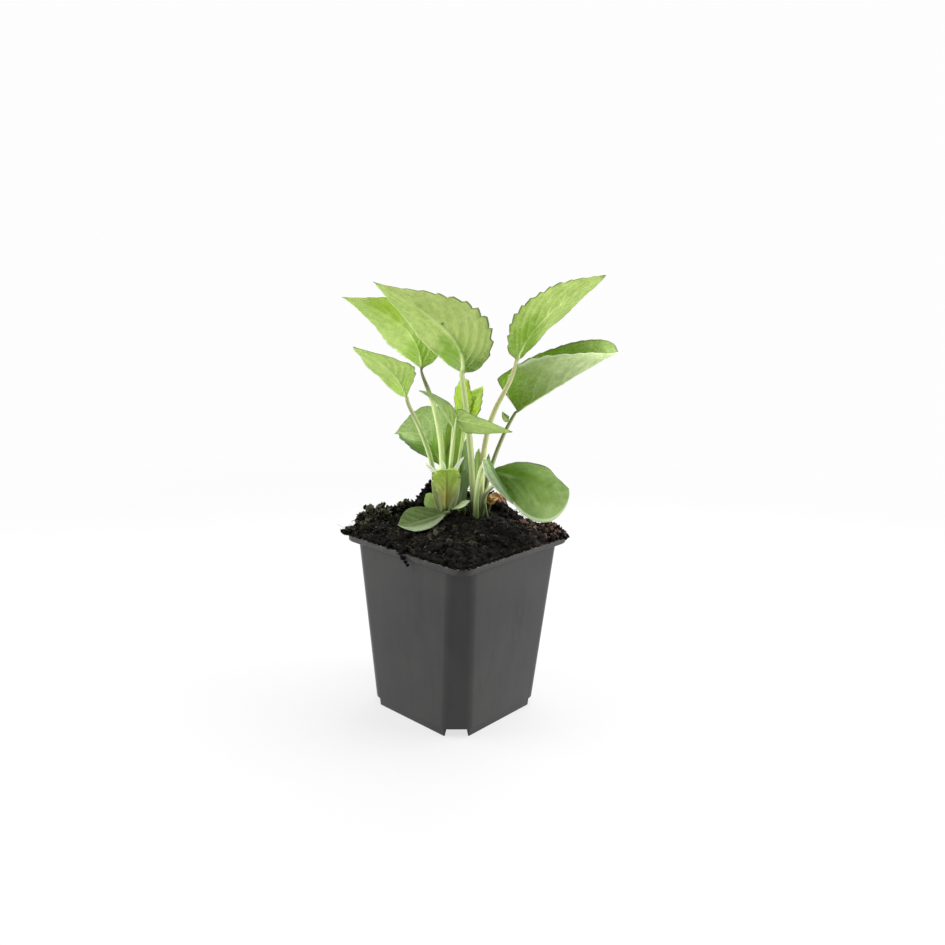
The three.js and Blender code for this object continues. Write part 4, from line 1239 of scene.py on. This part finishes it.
def soil_form(top):
    """The soil's body: smooth sides that follow the packed soil, and a rough top that closes in rings."""
    levels = np.linspace(top.low, RIM_TOP - SIDE_TOP, SIDE_RINGS)
    rings = [level_ring(side_outline(top, z + 0.05), z) for z in levels]
    outline = rounded_square(SOIL_EDGE, SOIL_CORNER, OUTLINE_POINTS)
    rings.append(level_ring(outline * (SOIL_NECK / SOIL_EDGE), RIM_TOP - NECK_DEPTH))
    for k in range(TOP_RINGS):
        x, y = outline.T * (1 - k / TOP_RINGS)
        inward = min(1.0, k / EVEN_RINGS)
        z = top.height(x, y) + inward * rough_ground(x, y, *COARSE) + rough_ground(x, y, *FINE)
        rings.append(np.column_stack([x, y, np.maximum(z, RIM_TOP + 0.1)]))
    rings = np.array(rings)
    x, y = rings[..., 0].ravel(), rings[..., 1].ravel()
    mean, stray = BODY_TINT
    tint = mean + stray * rough_ground(x, y, TINT_REACH, 1.0)
    return loft(rings, {"tint": tint.reshape(rings.shape[:2])})


# ---- loose soil: clods, crumbs, grit and fibres ----

LUMP_KINDS = 24
DENTS = 0.8                 # depth of a lump's dents, as a share of its radius
JAGS = 0.2                  # how far its single points stray, about
JAG_LIMIT = 1.6             # and at the most, in times JAGS
LUMP_RADII = (0.5, 1.0)     # its three radii, as shares of its size
LIFT = 0.3                  # mm that loose bits lie above the ground
DARK_TINT = 0.8             # of most loose soil, at the most
CLOD_SPREAD = (0.55, 1.35)  # sizes of clods, as shares of their mound's size
CRUMBS = 1500
CRUMB_SIZES = (2.2, 0.45)   # shape and scale of a gamma draw, mm
CRUMB_LIMITS = (0.5, 2.6)
GRIT = 4000
GRIT_SIZES = (0.25, 0.8)
GRIT_LIFT = 0.9             # mm above the soil's body, at the most
RIM_GRIT = 1500
RIM_BAND = (43.6, 45.35)    # mm from the axis, where grit lies on the pot's rim
RIM_LENGTH = 40             # and mm along it from the middle of a side
STRANDS = 420
MOSS_STRANDS = 150
MOSS_SPREAD = 9.0           # mm
CORNER_STRANDS = 9          # which stick out over the left corner, round CORNER_TIP
CORNER_TIP = (-43.0, -42.0, 103.0)
CORNER_SPREAD = 1.6
LONGEST_STRANDS = (7.0, 4.5, 8.0)  # mm: of the dark ones, of those in the moss and at the corner
STRAND_LENGTHS = (0.3, 1.0)        # as shares of the longest
STRAND_RADII = (0.08, 0.22)
STRAND_BEND = 0.25          # radians a step, about
STRAND_CLIMB = (0.1, 0.25)  # mean and spread of its slope
STRAND_CLEARANCE = 0.15     # mm above the soil, at the least
STRAND_STEPS = 7
STRAND_ANGLES = np.arange(4) * np.pi / 2


def icosphere(subdivisions):
    ball = bmesh.new()
    bmesh.ops.create_icosphere(ball, subdivisions=subdivisions, radius=1.0)
    points = np.array([v.co for v in ball.verts])
    faces = np.array([[v.index for v in f.verts] for f in ball.faces])
    ball.free()
    return points, faces


def random_turns(count, draw):
    """Evenly spread random rotations, as matrices."""
    w, x, y, z = unit(draw.normal(size=(count, 4))).T
    return np.stack([
        np.stack([1 - 2 * (y * y + z * z), 2 * (x * y - z * w), 2 * (x * z + y * w)], -1),
        np.stack([2 * (x * y + z * w), 1 - 2 * (x * x + z * z), 2 * (y * z - x * w)], -1),
        np.stack([2 * (x * z - y * w), 2 * (y * z + x * w), 1 - 2 * (x * x + y * y)], -1)], 1)


def lumps(places, sizes, tints, subdivisions, draw):
    """Ragged lumps of the given sizes at places, each turned and dented its own way."""
    ball, faces = icosphere(subdivisions)
    count = len(places)
    dents = [[fractal(point * 1.3 + kind * 7) for point in ball] for kind in range(LUMP_KINDS)]
    jags = draw.normal(size=(LUMP_KINDS, len(ball))).clip(-JAG_LIMIT, JAG_LIMIT)
    kinds = 1 + DENTS * np.array(dents) + JAGS * jags
    shapes = ball[None] * kinds[draw.integers(0, LUMP_KINDS, count)][..., None]
    scale = sizes[:, None] * draw.uniform(*LUMP_RADII, (count, 3))
    turned = np.einsum("kij,knj->kni", random_turns(count, draw), shapes * scale[:, None])
    points = (turned + places[:, None]).reshape(-1, 3)
    shift = (np.arange(count) * len(ball))[:, None, None]
    faces = (faces[None] + shift).reshape(-1, 3).tolist()
    return Form(points, faces, {"tint": np.repeat(tints, len(ball))})


@dataclass
class Mound:
    """A heap of clods on the soil: its middle, its reach and height, and how many clods of what size."""
    x: float
    y: float
    reach: float
    height: float
    clods: int
    size: float


MOUNDS = [
    Mound(-39, -32, 6.5, 9.0, 90, 1.7),       # the ragged heap at the left corner
    Mound(-37, -20, 6.0, 8.0, 62, 1.6),
    Mound(-42.5, -42.5, 3.6, 2.5, 46, 1.2),   # its tip, which hangs over the rim
    Mound(-28, 5, 6.0, 13.5, 116, 1.9),       # the ridge behind the left crown
    Mound(-32, 1, 5.0, 7.0, 46, 1.8),
    Mound(-37, -6, 6.0, 8.0, 62, 1.6),
    Mound(14, 26, 7.0, 2.5, 30, 1.6),
    Mound(8, -18, 7.0, 3.0, 22, 1.9),         # low clods in front of the crowns
    Mound(30, 4, 6.0, 2.5, 18, 1.7),
    Mound(39, 36, 7.0, 4.0, 78, 1.5),         # bark and clods at the right corner
    Mound(42, 28, 4.5, 2.5, 30, 1.3),
]
# Single clods on and under the rim: x, y, z and size, mm.
OVERHANG = [
    (3.2, -45.4, 101.0, 1.3), (1.2, -45.6, 99.4, 1.2), (4.0, -45.9, 97.6, 1.3), (6.2, -45.9, 95.9, 1.1),
    (7.4, -45.8, 94.6, 0.8), (2.4, -45.4, 98.0, 0.9), (-8.0, -45.0, 100.6, 0.9), (45.2, 41.0, 100.6, 1.2),
    (45.8, 38.4, 100.2, 1.0), (-45.2, -45.8, 101.6, 1.0), (-44.0, -44.6, 101.0, 1.6),
]


@dataclass
class Strewn:
    """Where a share of the loose soil has other tints: its middle and reach in mm, the share, the tints."""
    x: float
    y: float
    reach: float
    share: float
    tints: tuple


MOSS = Strewn(12, -26, 14, 0.3, (0.35, 0.9))         # pale, mossy strands in front of the crowns
STREWN = [
    Strewn(-38, -26, 16, 0.7, (0.4, 0.9)),           # pale fibre in the left heap
    MOSS,
    Strewn(37, 29, 15, 0.5, (1.2, 2.0)),             # bark near the right corner
]


def tint_at(places, draw):
    """0 to 1 is dark peat to pale fibre, and above 1 is red-brown bark."""
    count = len(places)
    tints = DARK_TINT * draw.beta(1.0, 5.5, count)
    for spot in STREWN:
        away = ((places[:, 0] - spot.x) ** 2 + (places[:, 1] - spot.y) ** 2) / spot.reach ** 2
        chosen = draw.uniform(size=count) < spot.share * np.exp(-away)
        tints = np.where(chosen, draw.uniform(*spot.tints, count), tints)
    return tints


def heap(mound, top, draw):
    """Places and sizes for a mound's clods."""
    angle = draw.uniform(0, 2 * np.pi, mound.clods)
    out = np.sqrt(draw.uniform(0, 1, mound.clods))
    x = mound.x + mound.reach * out * np.cos(angle)
    y = mound.y + mound.reach * out * np.sin(angle)
    z = top.height(x, y) + draw.uniform(0, 1, mound.clods) * mound.height * (1 - out ** 2)
    sizes = mound.size * draw.uniform(*CLOD_SPREAD, mound.clods)
    return np.column_stack([x, y, z, sizes])


def rim_litter(count, draw):
    """Places on the pot's rim, all round it."""
    along = draw.uniform(-RIM_LENGTH, RIM_LENGTH, count)
    across = draw.uniform(*RIM_BAND, count)
    side = draw.integers(0, 4, count)
    x = np.choose(side, [along, across, along, -across])
    y = np.choose(side, [across, along, -across, along])
    return np.column_stack([x, y, np.full(count, RIM_TOP + LIFT)])


def on_soil(top, count, draw, reach=SOIL_REACH):
    """Random places over the soil."""
    x, y = draw.uniform(-reach, reach, (2, count))
    return np.column_stack([x, y, top.height(x, y)])


def strand(top, start, tint, longest, draw):
    """A fine root or a peat strand that lies on the soil: a thin bent tube."""
    heading = draw.uniform(0, 2 * np.pi)
    headings = heading + draw.normal(0, STRAND_BEND) * np.arange(STRAND_STEPS)
    stride = draw.uniform(*STRAND_LENGTHS) * longest / (STRAND_STEPS - 1)
    climb = np.full(STRAND_STEPS, draw.normal(*STRAND_CLIMB))
    moves = stride * np.column_stack([np.cos(headings), np.sin(headings), climb])
    path = start + np.array([0, 0, LIFT]) + np.cumsum(moves, axis=0)
    ground = top.height(*np.clip(path[:, :2], -SOIL_REACH, SOIL_REACH).T)
    path[:, 2] = np.maximum(path[:, 2], ground + STRAND_CLEARANCE)
    along = unit(np.gradient(path, axis=0))
    side = unit(np.cross(along, [0, 0, 1.0]))
    rise = np.cross(side, along)
    thin = draw.uniform(*STRAND_RADII) * np.linspace(1, 0.4, STRAND_STEPS)[:, None, None]
    rings = path[:, None] + thin * (side[:, None] * np.cos(STRAND_ANGLES)[:, None]
                                    + rise[:, None] * np.sin(STRAND_ANGLES)[:, None])
    return loft(rings, {"tint": np.full(rings.shape[:2], tint)})


def strands(top, starts, tints, longest, draw):
    tubes = [strand(top, start, tint, longest, draw) for start, tint in zip(starts, tints)]
    size = len(tubes[0].points)
    faces = [[k + n * size for k in face] for n, tube in enumerate(tubes) for face in tube.faces]
    points = np.concatenate([tube.points for tube in tubes])
    return Form(points, faces, {"tint": np.concatenate([tube.values["tint"] for tube in tubes])})


def clods(top, draw):
    made = np.concatenate([heap(mound, top, draw) for mound in MOUNDS] + [np.array(OVERHANG)])
    return lumps(made[:, :3], made[:, 3], tint_at(made, draw), 3, draw)


def crumbs(top, draw):
    places = on_soil(top, CRUMBS, draw)
    sizes = draw.gamma(*CRUMB_SIZES, CRUMBS).clip(*CRUMB_LIMITS)
    return lumps(places, sizes, tint_at(places, draw), 2, draw)


def grit(top, draw):
    places = on_soil(top, GRIT, draw)
    places[:, 2] += draw.uniform(0, GRIT_LIFT, GRIT)
    places = np.concatenate([places, rim_litter(RIM_GRIT, draw)])
    sizes = draw.uniform(*GRIT_SIZES, len(places))
    return lumps(places, sizes, tint_at(places, draw), 1, draw)


def fibres(top, draw):
    """Dark strands all over, pale ones in the mossy patch, and a few at the left corner."""
    long_dark, long_pale, long_corner = LONGEST_STRANDS
    places = on_soil(top, STRANDS, draw, SOIL_NECK)
    dark = strands(top, places, 0.7 * draw.beta(2, 3, STRANDS), long_dark, draw)
    spread = draw.normal(0, MOSS_SPREAD, (MOSS_STRANDS, 2))
    x, y = np.clip(np.array([MOSS.x, MOSS.y]) + spread, -SOIL_NECK, SOIL_NECK).T
    places = np.column_stack([x, y, top.height(x, y)])
    pale = strands(top, places, draw.uniform(0.3, 0.8, MOSS_STRANDS), long_pale, draw)
    places = np.array(CORNER_TIP) + draw.normal(0, CORNER_SPREAD, (CORNER_STRANDS, 3))
    corner = strands(top, places, np.full(CORNER_STRANDS, 0.1), long_corner, draw)
    return dark.join(pale).join(corner)


# sRGB colours, in the hollows and where the light falls
PEAT = ((5, 4, 3), (19, 17, 14))
FIBRE = ((52, 52, 37), (94, 94, 75))
BARK = ((52, 38, 30), (112, 86, 76))
SOIL_RELIEF = 0.0005        # metres


def soil_material():
    """Peat by its tint: nearly black, pale and fibrous, or bark."""
    material, g = new_material("peat")
    place = g.place()
    tint = g.attribute("tint")
    mottle = g.noise(place, 700.0, 4.0, 0.65)
    lit = g.span(mottle, 0.35, 0.7)
    colour = g.mix(g.span(tint, 0.12, 0.95), g.between(lit, PEAT), g.between(lit, FIBRE))
    colour = g.mix(g.span(tint, 1.02, 1.1), colour, g.between(lit, BARK))
    bump = g.bump(mottle + g.noise(place, 2400.0, 3.0) * 0.5, SOIL_RELIEF, 0.8)
    g.finish(g.skin(colour, mottle * 0.25 + 0.68, bump, 0.08))
    return material


def make_soil():
    top = SoilTop()
    draw = np.random.default_rng(SEED)
    material = soil_material()
    make_piece(soil_form(top), "soil_body", "soil", material, ["soil"])
    make_piece(clods(top, draw), "soil_clods", "soil", material)
    make_piece(crumbs(top, draw), "soil_crumbs", "soil", material)
    make_piece(grit(top, draw), "soil_grit", "soil", material)
    make_piece(fibres(top, draw), "soil_fibres", "soil", material)


# ---- the scene ----

make_camera()
make_lights()
make_world()
make_floor()
make_pot()
make_soil()
make_leaves()
